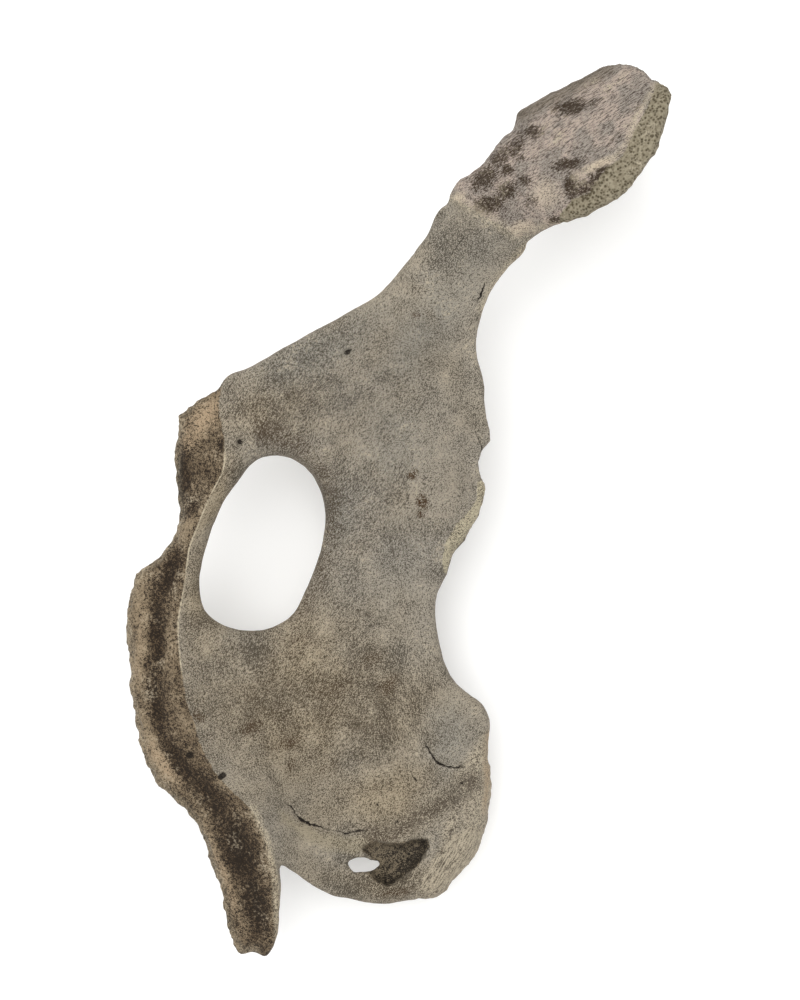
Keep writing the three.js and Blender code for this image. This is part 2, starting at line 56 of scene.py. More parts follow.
# Outer outline, clockwise: each border's name, the direction in degrees in which its first point is seen
# from the foramen, and its points
BORDERS = [
    ("pubic border", 112, [[-110, 65.5], [-103, 75], [-89, 80.5], [-72, 90.5], [-51, 102], [-30, 113.5],
                           [-13, 124]]),
    ("front of the shaft", 69, [[1, 139], [15.5, 158], [28, 177]]),
    ("front of the wing", 46, [[31, 185], [35.5, 192], [47, 199], [60, 216], [69.5, 224.5], [70, 230.5],
                               [81, 239.5], [105, 251], [122.5, 260.5]]),
    ("iliac crest", 44, [[135, 262], [148, 257], [154, 251], [161, 249.5]]),
    ("back of the wing", 42, [[164.5, 244], [161, 231], [156, 211], [147, 197.5], [137, 185], [122, 175],
                              [107, 167.5], [91, 164]]),
    ("greater sciatic notch", 36, [[75.5, 154], [65, 139], [55, 125.5], [48.5, 109], [46, 92.5]]),
    ("ischiatic spine", 20, [[49, 72], [52, 51], [54.5, 36.5], [49, 28], [48, 15.5], [51, 9.5], [49, -5],
                             [40, -21], [30, -36], [27.5, -45]]),
    ("lesser sciatic notch", -22, [[22, -58], [21, -69.5], [23.5, -87.5], [30, -105], [39.5, -115],
                                   [49, -122]]),
    ("ischial tuber", -50, [[54, -132], [53.5, -144], [52, -155], [53.5, -169], [51, -192], [45.5, -211],
                            [33, -227], [23, -238], [6, -240], [-12, -242.5], [-30, -239.5], [-40, -238],
                            [-55, -230]]),
    ("ischial arch", -103, [[-72, -218.5]]),
    ("end of the symphysis", -110, [[-71.5, -228], [-72.5, -243], [-74.5, -263], [-81, -273.5],
                                    [-87, -270], [-95.5, -270.5], [-102.5, -258], [-107, -237],
                                    [-114, -215], [-120, -197.5], [-134, -180.5], [-145, -172]]),
    ("symphysis", -143, [[-151, -159.5], [-156.5, -143], [-161, -117.5], [-162, -93], [-164, -69],
                         [-161.5, -54.5], [-156, -42], [-145, -34], [-135, -20], [-131.5, -7], [-134, 6],
                         [-134.5, 30], [-132, 49], [-123, 59]]),
]
WING_BORDERS = ("front of the wing", "iliac crest", "back of the wing")
FORAMEN_MIDDLE = np.array([-83, -26])
FORAMEN_RIM = [[-45, -5], [-50.5, 12], [-60, 22], [-74.5, 26.5], [-87.5, 23], [-98.5, 9.5], [-108.5, -6.5],
               [-116.5, -27], [-120.5, -52], [-116.5, -67], [-102, -76], [-83, -77.5], [-66, -69.5],
               [-55, -50], [-47.5, -28]]

# Dorsal border of the symphysis, where its slanted face leaves the pelvic floor: X, Y, lower face
SYMPHYSIS_CREST = [[-109, 57.5, 82], [-105.5, 36, 72], [-107, 15.5, 71], [-116.5, -3.5, 67],
                   [-126, -27.5, 63], [-133, -72, 57], [-131.5, -99, 55], [-127, -123, 54],
                   [-118, -150, 55], [-105, -171, 57], [-90, -185, 60], [-80.5, -203, 60],
                   [-74.5, -221, 60], [-72.5, -243, 57]]
FACE_LEVEL = 82
FACE_FOOT_X = -132
FACE_SLOPE = 0.55
FACE_BEND_Y = -120
FACE_BEND = 0.3

# Landmark heights: X, Y, upper face, lower face
LANDMARKS = [
    # pubis
    [-110, 65, 96, 84], [-96, 77, 95, 82], [-60, 95, 89, 76], [-21, 119, 87, 72], [-83, 54, 92, 74],
    [-42, 78, 82, 62],
    # ventral border of the symphysis, whose upper height is the pelvic floor carried on past the crest
    [-133, 30, 106, 68], [-132, -7, 98, 66], [-163, -72, 100, 48], [-158, -132, 98, 46],
    [-141, -175, 100, 46], [-113, -217, 98, 48], [-99, -267, 92, 45],
    # rim of the foramen
    [-75, 26, 84, 70], [-44, -12, 62, 40], [-66, -72, 58, 44], [-93, -79, 66, 52], [-121, -51, 80, 66],
    [-103, 6, 88, 74],
    # floor of the acetabulum
    [2, 41, 62, 14], [-36, 44, 70, 22], [22, 78, 72, 22], [-18, -2, 62, 15], [33, 8, 68, 26],
    # ischiatic spine
    [53, 39, 84, 75], [47, 90, 86, 77], [50, 9, 82, 73], [31, -36, 66, 52],
    # body and plate of the ischium
    [-9, -42, 58, 28], [22, -67, 60, 44], [28, -99, 58, 40], [-6, -90, 54, 28], [-42, -120, 50, 39],
    [-90, -120, 62, 51], [0, -144, 50, 34], [-42, -168, 49, 38],
    # ischial tuber and arch
    [-66, -208, 71, 56], [-42, -237, 54, 42], [-6, -240, 50, 34], [24, -236, 52, 22], [51, -200, 58, 10],
    [53, -138, 60, 36], [40, -192, 57, -3], [-6, -204, 50, 32],
    # shaft of the ilium
    [18, 111, 88, 52], [1, 139, 88, 76], [23, 168, 94, 82], [42, 153, 101, 70], [60, 132, 92, 80],
    [49, 114, 88, 76],
    # wing of the ilium
    [34, 190, 106, 90], [70, 228, 114, 94], [124, 260, 126, 104], [144, 259, 140, 118],
    [164, 244, 158, 138], [156, 211, 166, 146], [132, 180, 158, 140], [99, 165, 138, 122],
    [76, 154, 112, 98], [60, 186, 120, 96], [96, 210, 138, 110], [126, 222, 150, 124],
]
SURVEY_UNIT = 100
LEAST_THICKNESS = 6
RIM_ROUND = 4
RIM_ROUND_PER_HALF = 0.3
CREASE = 1.6
EDGE_BAND = 18
BAND_SHARE = 0.4

# Wing plate under the wing's face, down to the coxal tuber: height, start and end along it, thickness
WING_ROOT = np.array([42, 171])
WING_TURN = math.radians(35)
WING_STATIONS = [[136, 14, 106, 40], [112, 8, 107, 28], [92, 8, 108, 18], [72, 20, 110, 15],
                 [52, 36, 112, 17], [34, 45, 116, 26], [18, 48, 119, 35], [7, 51, 118, 34],
                 [2, 57, 113, 27], [0, 65, 106, 18]]
PLATE_CORNER = 3
PLATE_SUNK = 9
BLUNT_TIP = 0.45

# Acetabulum, under the meeting of the three bones
SOCKET_MIDDLE = np.array([2, 41])
SOCKET_TILT = math.radians(5)
SOCKET_RADIUS = 35
SOCKET_CENTRE_Z = 5
FOSSA_RADIUS = 17
FOSSA_CENTRE_Z = 28
WALL_PROFILE = [[0, 2.5], [40, 2.5], [44, 5.5], [45, 10.5], [45.5, 20], [44, 32], [36, 46], [0, 46]]
NOTCH_LENGTH = 63
NOTCH_WIDTH = 22
NOTCH_HEIGHT = 17
NOTCH_TURN = math.radians(222)
NOTCH_CORNER = 4

# Broken hole and pit in the caudal border of the ischium. A wave of a broken edge is its count round the
# edge, its size as a share of the radius, and its start. A level of the pit is its height and the share
# of the outline there.
HOLE_MIDDLE = np.array([-22, -219])
HOLE_SIZE = np.array([19, 8.5])
HOLE_WAVES = [(3, 0.08, 1), (5, 0.07, 0), (9, 0.05, 2)]
HOLE_REACH = (-20, 120)
PIT_WAVES = [(9, 0.06, 0), (17, 0.05, 1)]
PIT_OUTLINE = [[-23, -209], [-18, -205], [0, -206], [13, -203], [17, -206], [12, -217], [2, -227],
               [-8, -231], [-15, -228], [-20, -222]]
PIT_LEVELS = [[40.5, 0.55], [42, 0.8], [45, 0.93], [49, 1.0], [54, 1.03], [90, 1.1]]

# Fineness of the surfaces, in millimetres or steps
OUTLINE_STEPS = 4
FORAMEN_STEPS = 6
PIT_STEPS = 12
LIP_STEPS = 2
RAYS_PER_CORNER = 8
RAY_STEPS = 72
RAY_CROWDING = 0.14
GUIDE_SPREADS = (8, 8, 8, 4, 2, 1)
BAND_STEPS = 20
WING_ROWS = 110
WING_COLUMNS = 76
STATION_STEPS = 8
ROUND_STEPS = 96
SKIN_VOXEL = 1.1
MOST_TRIANGLES = 196_000
BLOCK = 2000

# Marks on the bone, as picture pixels. An oval is its middle, half length, half width, turn in degrees and
# strength. A crack is its points, each with the crack's width there in millimetres.
ROUGH_END = [(446, 196), (450, 176), (474, 160), (496, 134), (508, 124), (508, 110), (530, 93), (572, 74),
             (604, 57), (628, 54), (655, 66), (664, 82), (650, 101), (637, 125), (627, 150), (614, 164),
             (592, 190), (574, 198), (562, 228), (543, 230), (530, 236), (515, 236), (495, 222),
             (473, 209)]
SPONGY_STRIP = [(656, 84), (664, 74), (684, 88), (680, 108), (672, 146), (662, 160), (646, 182),
                (628, 200), (603, 217), (578, 232), (562, 228), (560, 216), (572, 199), (589, 193),
                (606, 168), (622, 157), (634, 133), (647, 108)]
# Front strip of the wing: grey-brown, darkened as painted shade of its slope
FRONT_STRIP = [(508, 120), (508, 108), (530, 93), (572, 74), (604, 57), (618, 64), (612, 73), (580, 90),
               (545, 108), (524, 122)]
WING_RIDGE = [(656, 84), (646, 101), (634, 120), (627, 143), (616, 156), (586, 169), (573, 177)]
NECK_LINE = [(454, 198), (473, 209), (495, 222), (515, 236), (533, 231), (545, 226)]
SOIL = [(570, 107, 19, 9, 12, 1), (592, 102, 12, 6, 15, 0.6), (530, 131, 17, 7, 12, 0.75),
        (514, 146, 16, 8, 40, 0.75), (499, 158, 15, 10, 50, 0.8), (483, 178, 17, 12, 40, 0.85),
        (506, 171, 9, 7, 20, 0.85), (521, 157, 6, 5, 0, 0.6), (523, 180, 9, 7, 10, 0.85),
        (506, 191, 11, 8, 20, 0.95), (488, 206, 18, 10, 20, 1), (567, 165, 18, 7, 12, 1),
        (571, 188, 7, 18, 0, 0.9), (584, 191, 13, 11, 30, 0.9), (600, 176, 16, 8, 38, 0.85),
        (555, 221, 8, 5, 0, 0.8), (459, 209, 7, 6, 0, 0.8), (530, 201, 9, 9, 0, 0.5),
        (614, 140, 14, 4, 40, 0.45), (640, 106, 14, 4, 45, 0.45)]
END_PALE = [(600, 166, 18, 5, 25, 1), (520, 228, 14, 6, 20, 0.8), (458, 200, 9, 6, 40, 0.8),
            (563, 225, 20, 4, 5, 1), (545, 195, 16, 16, 0, 0.6)]
FACE_PALE = [(203, 420, 24, 11, 60, 0.75), (212, 405, 10, 7, 0, 0.6), (188, 528, 18, 8, 55, 0.7),
             (138, 600, 30, 10, 90, 0.7), (140, 650, 50, 7, 85, 0.65), (172, 660, 40, 7, 95, 0.35),
             (150, 735, 30, 6, 115, 0.9), (162, 765, 26, 8, 128, 0.8), (185, 720, 30, 8, 110, 0.45),
             (222, 870, 60, 4, 110, 0.5), (188, 685, 40, 5, 100, 0.6), (210, 748, 30, 7, 125, 0.55),
             (218, 762, 34, 8, 128, 0.8)]
FACE_DARK = [(183, 478, 36, 8, 90, 1), (190, 508, 14, 7, 60, 0.7), (222, 448, 10, 5, 80, 0.7),
             (170, 575, 26, 10, 70, 1), (158, 630, 50, 8, 90, 0.9), (157, 700, 44, 8, 100, 0.8),
             (178, 760, 34, 9, 125, 0.9), (212, 800, 36, 12, 125, 0.9), (240, 850, 44, 16, 110, 1.2),
             (256, 905, 36, 12, 100, 1.2)]
TAN = [(203, 420, 26, 13, 55, 0.85), (190, 440, 14, 8, 60, 0.7), (162, 762, 34, 8, 128, 0.65),
       (139, 650, 55, 7, 85, 0.2), (225, 880, 60, 5, 110, 0.5)]
# Painted highlight: pale line along the raised symphysis crest, where it catches the light
CREST_HIGHLIGHT = [(224, 452), (222, 470), (204, 504), (190, 540), (180, 575), (178, 600), (178, 636),
               (183, 665)]
WARM = [(300, 700, 120, 90, 0, 1), (270, 410, 60, 35, 20, 0.8), (380, 800, 70, 45, 0, 0.9),
        (380, 880, 70, 25, 0, 0.7), (205, 610, 80, 30, 95, 0.7), (213, 495, 70, 16, 62, 0.9)]
COOL = [(425, 330, 75, 30, 60, 0.9), (330, 345, 80, 22, 28, 0.9), (395, 440, 60, 35, 70, 0.7),
        (447, 735, 40, 24, 80, 1), (340, 520, 40, 18, 80, 0.7), (400, 560, 60, 30, 90, 0.5),
        (470, 270, 40, 20, 58, 0.6)]
UPRIGHT_GRAIN = [(420, 640, 110, 50, 95, 1), (400, 730, 60, 45, 100, 1)]
STAINS = [(411, 475, 6, 5, 40, 1.6), (422, 502, 9, 6, 90, 1.6), (420, 515, 5, 4, 0, 1),
          (417, 315, 5, 4, 0, 1), (250, 728, 12, 7, 30, 0.7), (288, 745, 16, 7, 20, 0.8),
          (290, 766, 10, 5, 70, 0.6), (325, 770, 14, 9, 20, 0.5), (388, 683, 12, 9, 40, 0.8),
          (374, 660, 12, 6, 20, 0.5), (300, 640, 20, 8, 0, 0.4), (330, 690, 22, 10, 20, 0.3),
          (199, 717, 7, 7, 0, 0.9), (372, 842, 14, 7, 40, 0.9), (388, 838, 16, 5, 10, 0.6),
          (396, 893, 22, 5, 8, 0.7), (432, 893, 16, 8, 30, 0.8)]
FORAMEN_STAIN = [(262, 432), (300, 446), (322, 480), (326, 525), (318, 570), (298, 612)]
PRONG_RIM = [(253, 808), (268, 842), (275, 876), (278, 938)]
# Painted highlight: pale line along the lit edge of the shaft by the neck
NECK_HIGHLIGHT = [(530, 244), (508, 270), (492, 292), (484, 310)]
SPINE_CHIP = [(477, 482), (492, 478), (494, 505), (474, 545), (455, 576), (443, 573), (443, 557),
              (447, 540), (456, 524), (471, 510), (477, 498)]
SPINE_EDGE = [(487, 440), (480, 458), (480, 478), (486, 486), (483, 508), (466, 536), (450, 560),
              (446, 575)]
TUBER_BORDER = [(452, 775), (466, 760), (482, 735), (500, 735), (502, 790), (495, 835), (484, 862),
                (460, 888), (440, 908), (405, 912), (420, 882), (438, 852), (448, 815)]
TUBER_LINES = [(420, 885), (433, 907), (447, 900), (464, 882), (480, 852), (487, 832), (470, 828),
               (450, 835), (432, 860)]
TAN_EDGE = [(490, 735), (488, 765), (489, 790), (487, 812)]
BELOW_CRACK = [(275, 803), (295, 818), (320, 829), (345, 835), (374, 834), (368, 848), (355, 858),
               (330, 852), (300, 838), (280, 822)]
# Painted light and shade: lighter patches where light falls on the bone, darker patches where shade falls,
# as in the hollow plate of the ischium
PAINTED_LIGHT_PATCHES = [(445, 470, 90, 30, 85, 0.8), (410, 590, 60, 40, 80, 0.5), (480, 280, 50, 14, 58, 0.8),
              (470, 810, 50, 25, 80, 0.8), (232, 770, 30, 8, 125, 0.8)]
PAINTED_SHADE_PATCHES = [(300, 690, 110, 70, 0, 0.75), (395, 715, 50, 50, 60, 1.25), (270, 400, 60, 40, 25, 0.4),
             (310, 350, 60, 20, 28, 0.9), (380, 885, 70, 14, 0, 1), (200, 600, 60, 20, 95, 0.6),
             (450, 245, 40, 26, 58, 0.7), (330, 490, 60, 14, 85, 0.6)]
GROWTH_ZONE = [(370, 832), (395, 830), (425, 814), (448, 800), (470, 783)]
# Foramina, painted near black as the shade inside them
FORAMINA = [(348, 352, 5, 2.5, 30, 1.2), (240, 442, 3.5, 3, 0, 1.2), (190, 755, 4.5, 4, 20, 1.2),
            (222, 776, 5, 3.4, 30, 1.3), (462, 783, 3, 2, 30, 0.9), (377, 805, 2.5, 2, 0, 0.8),
            (397, 822, 2.5, 2, 60, 0.8), (367, 526, 2, 2, 0, 0.9)]
PIT_DARK = [(425, 845, 8, 9, 0, 1), (412, 862, 24, 9, 45, 1), (390, 880, 15, 8, 20, 0.9),
            (402, 858, 26, 12, 30, 0.5)]
PIT_SEEN = [(362, 850), (370, 842), (400, 843), (422, 838), (428, 840), (429, 847), (422, 858), (417, 867),
            (407, 873), (398, 880), (390, 887), (377, 883), (367, 873), (379, 864)]
# Cracks, painted near black as the shade inside them
CRACKS = [
    [(272, 797, 0.2), (284, 803, 0.3), (291, 806, 0.7), (296, 815, 0.5), (303, 821, 1.1), (311, 824.5, 1),
     (318, 826, 0.8), (325, 828.5, 0.3), (334, 830.5, 0.5), (342, 832, 0.3), (346, 833.5, 0.9),
     (351, 832.5, 0.4), (357, 831, 0.9), (364, 830.5, 1), (372, 832, 0.6)],
    [(424, 738, 0.5), (427, 747, 0.7), (431, 754, 0.6), (437, 762, 0.9), (444, 766, 0.8), (451, 767, 0.7),
     (458, 767.5, 0.9), (465, 763, 0.6)],
    [(409, 769, 0.3), (413, 776, 0.5), (417, 782, 0.9)],
    [(467, 232, 0.3), (460, 243, 0.5), (455, 249, 0.3), (450, 256, 0.6)],
    [(486, 281, 0.5), (481, 294, 0.8), (476, 305, 0.4)],
    [(474, 431, 0.4), (480, 441, 0.5), (483, 455, 0.6)],
]

# Reach and fading of the marks, in millimetres, shares, or the upward part of a normal
SYMPHYSIS_EAST = -62
LIP_START = 4
WING_CRUST = 16
CHIP_DEPTH = 7
TAN_DEPTH = 24
CRACK_REACH = 4
CRACK_TAPER = 8
WANDER = 2.4
SIGNED_REACH = 6
SPOT_EDGE = 1.33
UPPER_TILT = 0.05
UPPER_SPAN = 0.3
COXAL_TOP = 62
COXAL_WAVE = 26
COXAL_FADE = 26
COXAL_FRONT = 150
COXAL_FRONT_FADE = 10
KNOBBLY_FADE = 8
SOCKET_MARGIN = 3
SOCKET_TOP = 40
SOCKET_FADE = 4
FORAMEN_STAIN_SHARE = 0.5
NECK_HIGHLIGHT_SHARE = 0.9
BAND_WIDTH = {"lip": 5, "crest_highlight": 7, "ridge": 3.5, "neck_lumps": 6, "tan_edge": 5,
              "foramen_stain": 14, "prong_rim": 3.5, "neck_highlight": 6, "spine": 4, "growth_zone": 12}

# Random fields: size of the coarsest layer in millimetres, and seed
LATTICE = 64
NOISE_LAYERS = 3
STREAK_TURN = 40
FIELDS = {"wander_x": (9, 51), "wander_y": (9, 61), "tuber_edge": (34, 97), "broad": (30, 71),
          "blotch": (9, 81), "fine": (4.5, 11), "waves": (16, 21), "lumps": (8, 31),
          "streaks": ((16, 2.6, 6), 41), "swells": (24, 91), "knobs": (13, 95)}
MOTTLE_SWING = {"broad": 0.3, "blotch": 0.33}

# Relief in millimetres: for each kind of surface, the height that each random field has there
RELIEF = {
    "everywhere": {"waves": 0.3, "fine": 0.12},
    "beneath": {"swells": 0.9, "lumps": 0.4},
    "socket_wall": {"swells": 1.2},
    "tubers": {"knobs": 3.2, "swells": 2.4},
    "ragged": {"lumps": 0.9, "fine": 0.8},
    "rough_end": {"streaks": 0.5, "lumps": 0.5, "fine": 0.35},
    "growth_zone": {"fine": 0.7, "lumps": 0.5},
}
RAGGED = {"lip": 1.5, "knobbly": 0.8, "coxal_tuber": 1, "spine": 1}
SPONGY_RAGGED = 0.9
SPONGY_DEPTH = 1.0
EDGE_FADE = 4
TUBER_KNOBS = 0.4
WALL_INNER = 36
WALL_INNER_FADE = 4
WALL_OUTER = 66
WALL_OUTER_FADE = 10
SOCKET_LIP_HEIGHT = 1.4
SOCKET_LIP_LEVEL = 8
SOCKET_LIP_SPREAD = 5
SOCKET_NECK_DEPTH = 3.4
SOCKET_NECK_LEVEL = 24
SOCKET_NECK_SPREAD = 8
RIDGE_HEIGHT = 1.0
RIDGE_LUMPS = 0.8
NECK_LUMP_HEIGHT = 0.4
NECK_LUMP_SWING = 1.6
CREST_HEIGHT = 0.7
CREST_SPREAD = 1.3
FACE_RELIEF = 1.2
CHIP_HOLLOW = 0.8
CHIP_FADE = 1.5
SOIL_HOLLOW = 0.5
CRACK_SPREAD = 0.9
FORAMEN_DEPTH = 1.8

# Rounding and thinning of the skin
LOWER_TILT = -0.2
LOWER_SPAN = 0.4
LOWER_WEIGHT = 0.5
LOWER_PASSES = 14
UPPER_WEIGHT = 0.4
UPPER_PASSES = 2
UPPER_THINNING = 0.35

# Camera, floor and light
SENSOR_HEIGHT = 36
FLOOR_REACH = 60
FLOOR_ROUGHNESS = 0.9
# Painted light: the floor's faint glow of its own lightens the shadows cast on it
FLOOR_PAINTED_GLOW = 0.14
SURROUND_STRENGTH = 1.05
LIGHT_SIZE = 1.6
LIGHT_POWER = 24
LIGHT_PLACE = (-0.45, 0.45, 2.2)


def unit(vectors):
    """Vectors over their own length."""
    return vectors / np.linalg.norm(vectors, axis=-1, keepdims=True)


def ease(share):
    """Smooth step from 0 to 1: three squares less two cubes of the share, kept between 0 and 1."""
    share = np.clip(share, 0, 1)
    return share * share * (3 - 2 * share)


def curve_through(points, stops, closed):
    """Centripetal Catmull-Rom curve through points, read at stops counted in points: between two points it
    is the pyramid of weighted means of the four around them, with knots apart by the root of their
    distances."""
    points = np.asarray(points, float)
    before, after = points[-1:], points[:2]
    if not closed:
        before, after = 2 * points[:1] - points[1:2], 2 * points[-1:] - points[-2:-1]
    whole = np.vstack([before, points, after])
    first = np.clip(np.floor(stops).astype(int), 0, len(whole) - 4)
    p = [whole[first + k] for k in range(4)]
    gaps = [np.sqrt(np.linalg.norm(p[k + 1] - p[k], axis=1, keepdims=True)) for k in range(3)]
    knots = [-gaps[0], 0 * gaps[0], gaps[1], gaps[1] + gaps[2]]
    t = (stops - first)[:, None] * gaps[1]

    def mean(a, b, start, end):
        return ((knots[end] - t) * a + (t - knots[start]) * b) / (knots[end] - knots[start])

    lines = [mean(p[k], p[k + 1], k, k + 1) for k in range(3)]
    arcs = [mean(lines[k], lines[k + 1], k, k + 2) for k in range(2)]
    return mean(arcs[0], arcs[1], 1, 2)


def smooth_run(points, steps, closed):
    """The curve through points as a run with some steps for each stretch. A closed one ends on its first
    point."""
    stretches = len(points) if closed else len(points) - 1
    return curve_through(points, np.arange(stretches * steps + 1) / steps, closed)


def even_run(points, count):
    """Open curve through points, at evenly spaced lengths along it."""
    run = smooth_run(points, ROUND_STEPS, False)
    length = np.r_[0, np.cumsum(np.linalg.norm(np.diff(run, axis=0), axis=1))]
    stops = np.linspace(0, length[-1], count)
    return np.stack([np.interp(stops, length, run[:, k]) for k in range(2)], axis=1)


def run_distance(places, run):
    """Shortest distance from each place to a run: the place dropped square on to every stretch, kept
    between the stretch's ends. Places are taken a block at a time to save memory."""
    side = np.diff(run, axis=0)
    square = np.maximum((side ** 2).sum(1), np.finfo(float).tiny)
    found = []
    for some in np.array_split(places, len(places) // BLOCK + 1):
        toward = some[:, None] - run[:-1]
        along = np.clip((toward * side).sum(2) / square, 0, 1)
        found.append((((toward - along[..., None] * side) ** 2).sum(2)).min(1))
    return np.sqrt(np.concatenate(found))


def inside(places, outline):
    """Whether each place is inside an outline: a line to its right crosses the outline an odd number of
    times."""
    x, y = places.T
    odd = np.zeros(len(places), bool)
    for (ax, ay), (bx, by) in zip(outline, np.roll(outline, -1, axis=0)):
        if ay != by:
            odd ^= ((ay > y) != (by > y)) & (x < ax + (y - ay) * (bx - ax) / (by - ay))
    return odd


OUTLINE = smooth_run([point for _, _, points in BORDERS for point in points], OUTLINE_STEPS, True)
FORAMEN = smooth_run(FORAMEN_RIM, FORAMEN_STEPS, True)
BORDER = {name: points for name, _, points in BORDERS}


def symphysis_face(places):
    """Slanted plane that bends down past a line across the bone."""
    x, y = places.T
    return FACE_LEVEL + FACE_SLOPE * (x - FACE_FOOT_X) - FACE_BEND * np.maximum(0, FACE_BEND_Y - y)


def height_surface(sites, heights):
    """Thin-plate surface through heights at sites: a plane plus, for each site, a weight times the squared
    distance times its logarithm, with weights that balance out over the plane's terms."""
    def bends(places):
        square = ((places[:, None] - sites) ** 2).sum(2) / SURVEY_UNIT ** 2
        return square * np.log(np.maximum(square, np.finfo(float).tiny))

    plane = np.c_[np.ones(len(sites)), sites / SURVEY_UNIT]
    matrix = np.block([[bends(sites), plane], [plane.T, np.zeros((3, 3))]])
    weights = np.linalg.solve(matrix, np.r_[heights, np.zeros(3)])
    return lambda places: np.c_[bends(places), np.ones(len(places)), places / SURVEY_UNIT] @ weights


crest = np.array(SYMPHYSIS_CREST)
survey = np.vstack([LANDMARKS, np.c_[crest[:, :2], symphysis_face(crest[:, :2]), crest[:, 2]]])
floor_height = height_surface(survey[:, :2], survey[:, 2])
lower_height = height_surface(survey[:, :2], survey[:, 3])


def upper_height(places):
    """Softened minimum of pelvic floor and symphysis face: half of their sum less their softened
    difference."""
    floor, face = floor_height(places), symphysis_face(places)
    return (floor + face - np.hypot(floor - face, CREASE)) / 2


def sections_over(plan, blunt=0.0):
    """Closed sections over rows of plan places: along the upper face and back along the lower one. The
    faces close in a quarter ellipse over the rim's width, or stay open by the blunt share of their gap."""
    places = plan.reshape(-1, 2)
    top = upper_height(places)
    bottom = np.minimum(lower_height(places), top - LEAST_THICKNESS)
    half = (top - bottom) / 2
    edge = np.minimum(run_distance(places, OUTLINE), run_distance(places, FORAMEN))
    inward = np.minimum(1, edge / (RIM_ROUND + RIM_ROUND_PER_HALF * half))
    swell = half * np.maximum(blunt, np.sqrt(1 - (1 - inward) ** 2))
    swell = swell.reshape(plan.shape[:2])
    swell[:, [0, -1]] = 0
    middle = ((top + bottom) / 2).reshape(plan.shape[:2])
    upper = np.dstack([plan, middle + swell])
    lower = np.dstack([plan, middle - swell])
    return np.hstack([upper, lower[:, -2:0:-1]])


def main_body():
    """Section carried round the foramen: each stands on a ray from the foramen's rim over a guide to the
    outer border. The guide lies a band's width in from the border, half square to it and half along the
    ray."""
    corners, directions = [], []
    for (name, start, points), (_, end, _) in zip(BORDERS, [*BORDERS[1:], ("", BORDERS[0][1] - 360, [])]):
        if name not in WING_BORDERS:
            corners += points
            directions += [start + (end - start) * k / len(points) for k in range(len(points))]
    stops = np.arange(len(corners) * RAYS_PER_CORNER) / RAYS_PER_CORNER
    outer = curve_through(corners, stops, True)
    turn = np.radians(np.interp(stops, np.arange(len(corners) + 1), [*directions, BORDERS[0][1] - 360]))
    rim = FORAMEN - FORAMEN_MIDDLE
    rim_turn = np.arctan2(rim[:, 1], rim[:, 0])
    reach = np.interp(turn, rim_turn, np.linalg.norm(rim, axis=1), period=2 * np.pi)
    inner = FORAMEN_MIDDLE + reach[:, None] * np.c_[np.cos(turn), np.sin(turn)]
    along = unit(np.roll(outer, -RAYS_PER_CORNER, 0) - np.roll(outer, RAYS_PER_CORNER, 0))
    back = inner - outer
    inward = unit(np.c_[along[:, 1], -along[:, 0]] + unit(back))
    depth = np.minimum(EDGE_BAND, BAND_SHARE * np.linalg.norm(back, axis=1))
    guide = outer + inward * depth[:, None]
    for spread in GUIDE_SPREADS:
        guide = guide / 2 + (np.roll(guide, spread, 0) + np.roll(guide, -spread, 0)) / 4
    share = np.linspace(0, 1, RAY_STEPS)
    near = (share - RAY_CROWDING * np.sin(2 * np.pi * share))[:, None]
    far = np.sin(np.linspace(0, np.pi / 2, BAND_STEPS))[1:, None]
    plan = np.hstack([inner[:, None] + near * (guide - inner)[:, None],
                      guide[:, None] + far * (outer - guide)[:, None]])
    return sections_over(plan)


def wing_face():
    """Patch between four borders: straight lines from the front to the back border, pushed out towards the
    crest by their share of the way to it."""
    front = BORDER["front of the shaft"][-2:] + BORDER["front of the wing"]
    back = (BORDER["back of the wing"] + BORDER["greater sciatic notch"][:2])[::-1]
    front_line = even_run(front, WING_ROWS)[:, None]
    back_line = even_run(back, WING_ROWS)[:, None]
    crest_line = even_run([front[-1], *BORDER["iliac crest"], back[-1]], WING_COLUMNS)
    s = np.linspace(0, 1, WING_ROWS)[:, None, None]
    t = ((1 - np.cos(np.linspace(0, np.pi, WING_COLUMNS))) / 2)[:, None]
    straight = front_line + (back_line - front_line) * t
    even = np.linspace(0, 1, WING_COLUMNS)
    crest_line = np.stack([np.interp(t[:, 0], even, line) for line in crest_line.T], 1)
    plan = straight + s * (crest_line - straight[-1])
    blunt = np.where(np.arange(WING_ROWS) == WING_ROWS - 1, BLUNT_TIP, 0)
    return sections_over(plan, blunt.repeat(WING_COLUMNS))


def blunt_round(turns, corner):
    """Superellipse of radius one: cosine and sine, each raised to two over the corner's power."""
    circle = np.c_[np.cos(turns), np.sin(turns)]
    return np.sign(circle) * np.abs(circle) ** (2 / corner)


TURNS = np.linspace(0, 2 * np.pi, ROUND_STEPS, endpoint=False)


def wing_plate():
    """Flattened superellipses stacked along a smooth run of stations, from wing face to ground."""
    stations = smooth_run(WING_STATIONS, STATION_STEPS, False)
    z, start, end, thickness = (column[:, None] for column in stations.T)
    oval = blunt_round(TURNS, PLATE_CORNER)
    along = (start + end) / 2 + (end - start) / 2 * oval[:, 0]
    aside = thickness / 2 * oval[:, 1]
    x = WING_ROOT[0] + along * math.cos(WING_TURN) - aside * math.sin(WING_TURN)
    y = WING_ROOT[1] + along * math.sin(WING_TURN) + aside * math.cos(WING_TURN)
    roof = upper_height(np.c_[x.ravel(), y.ravel()]).reshape(x.shape) - PLATE_SUNK
    return np.dstack([x, y, np.minimum(z + 0 * x, roof)])


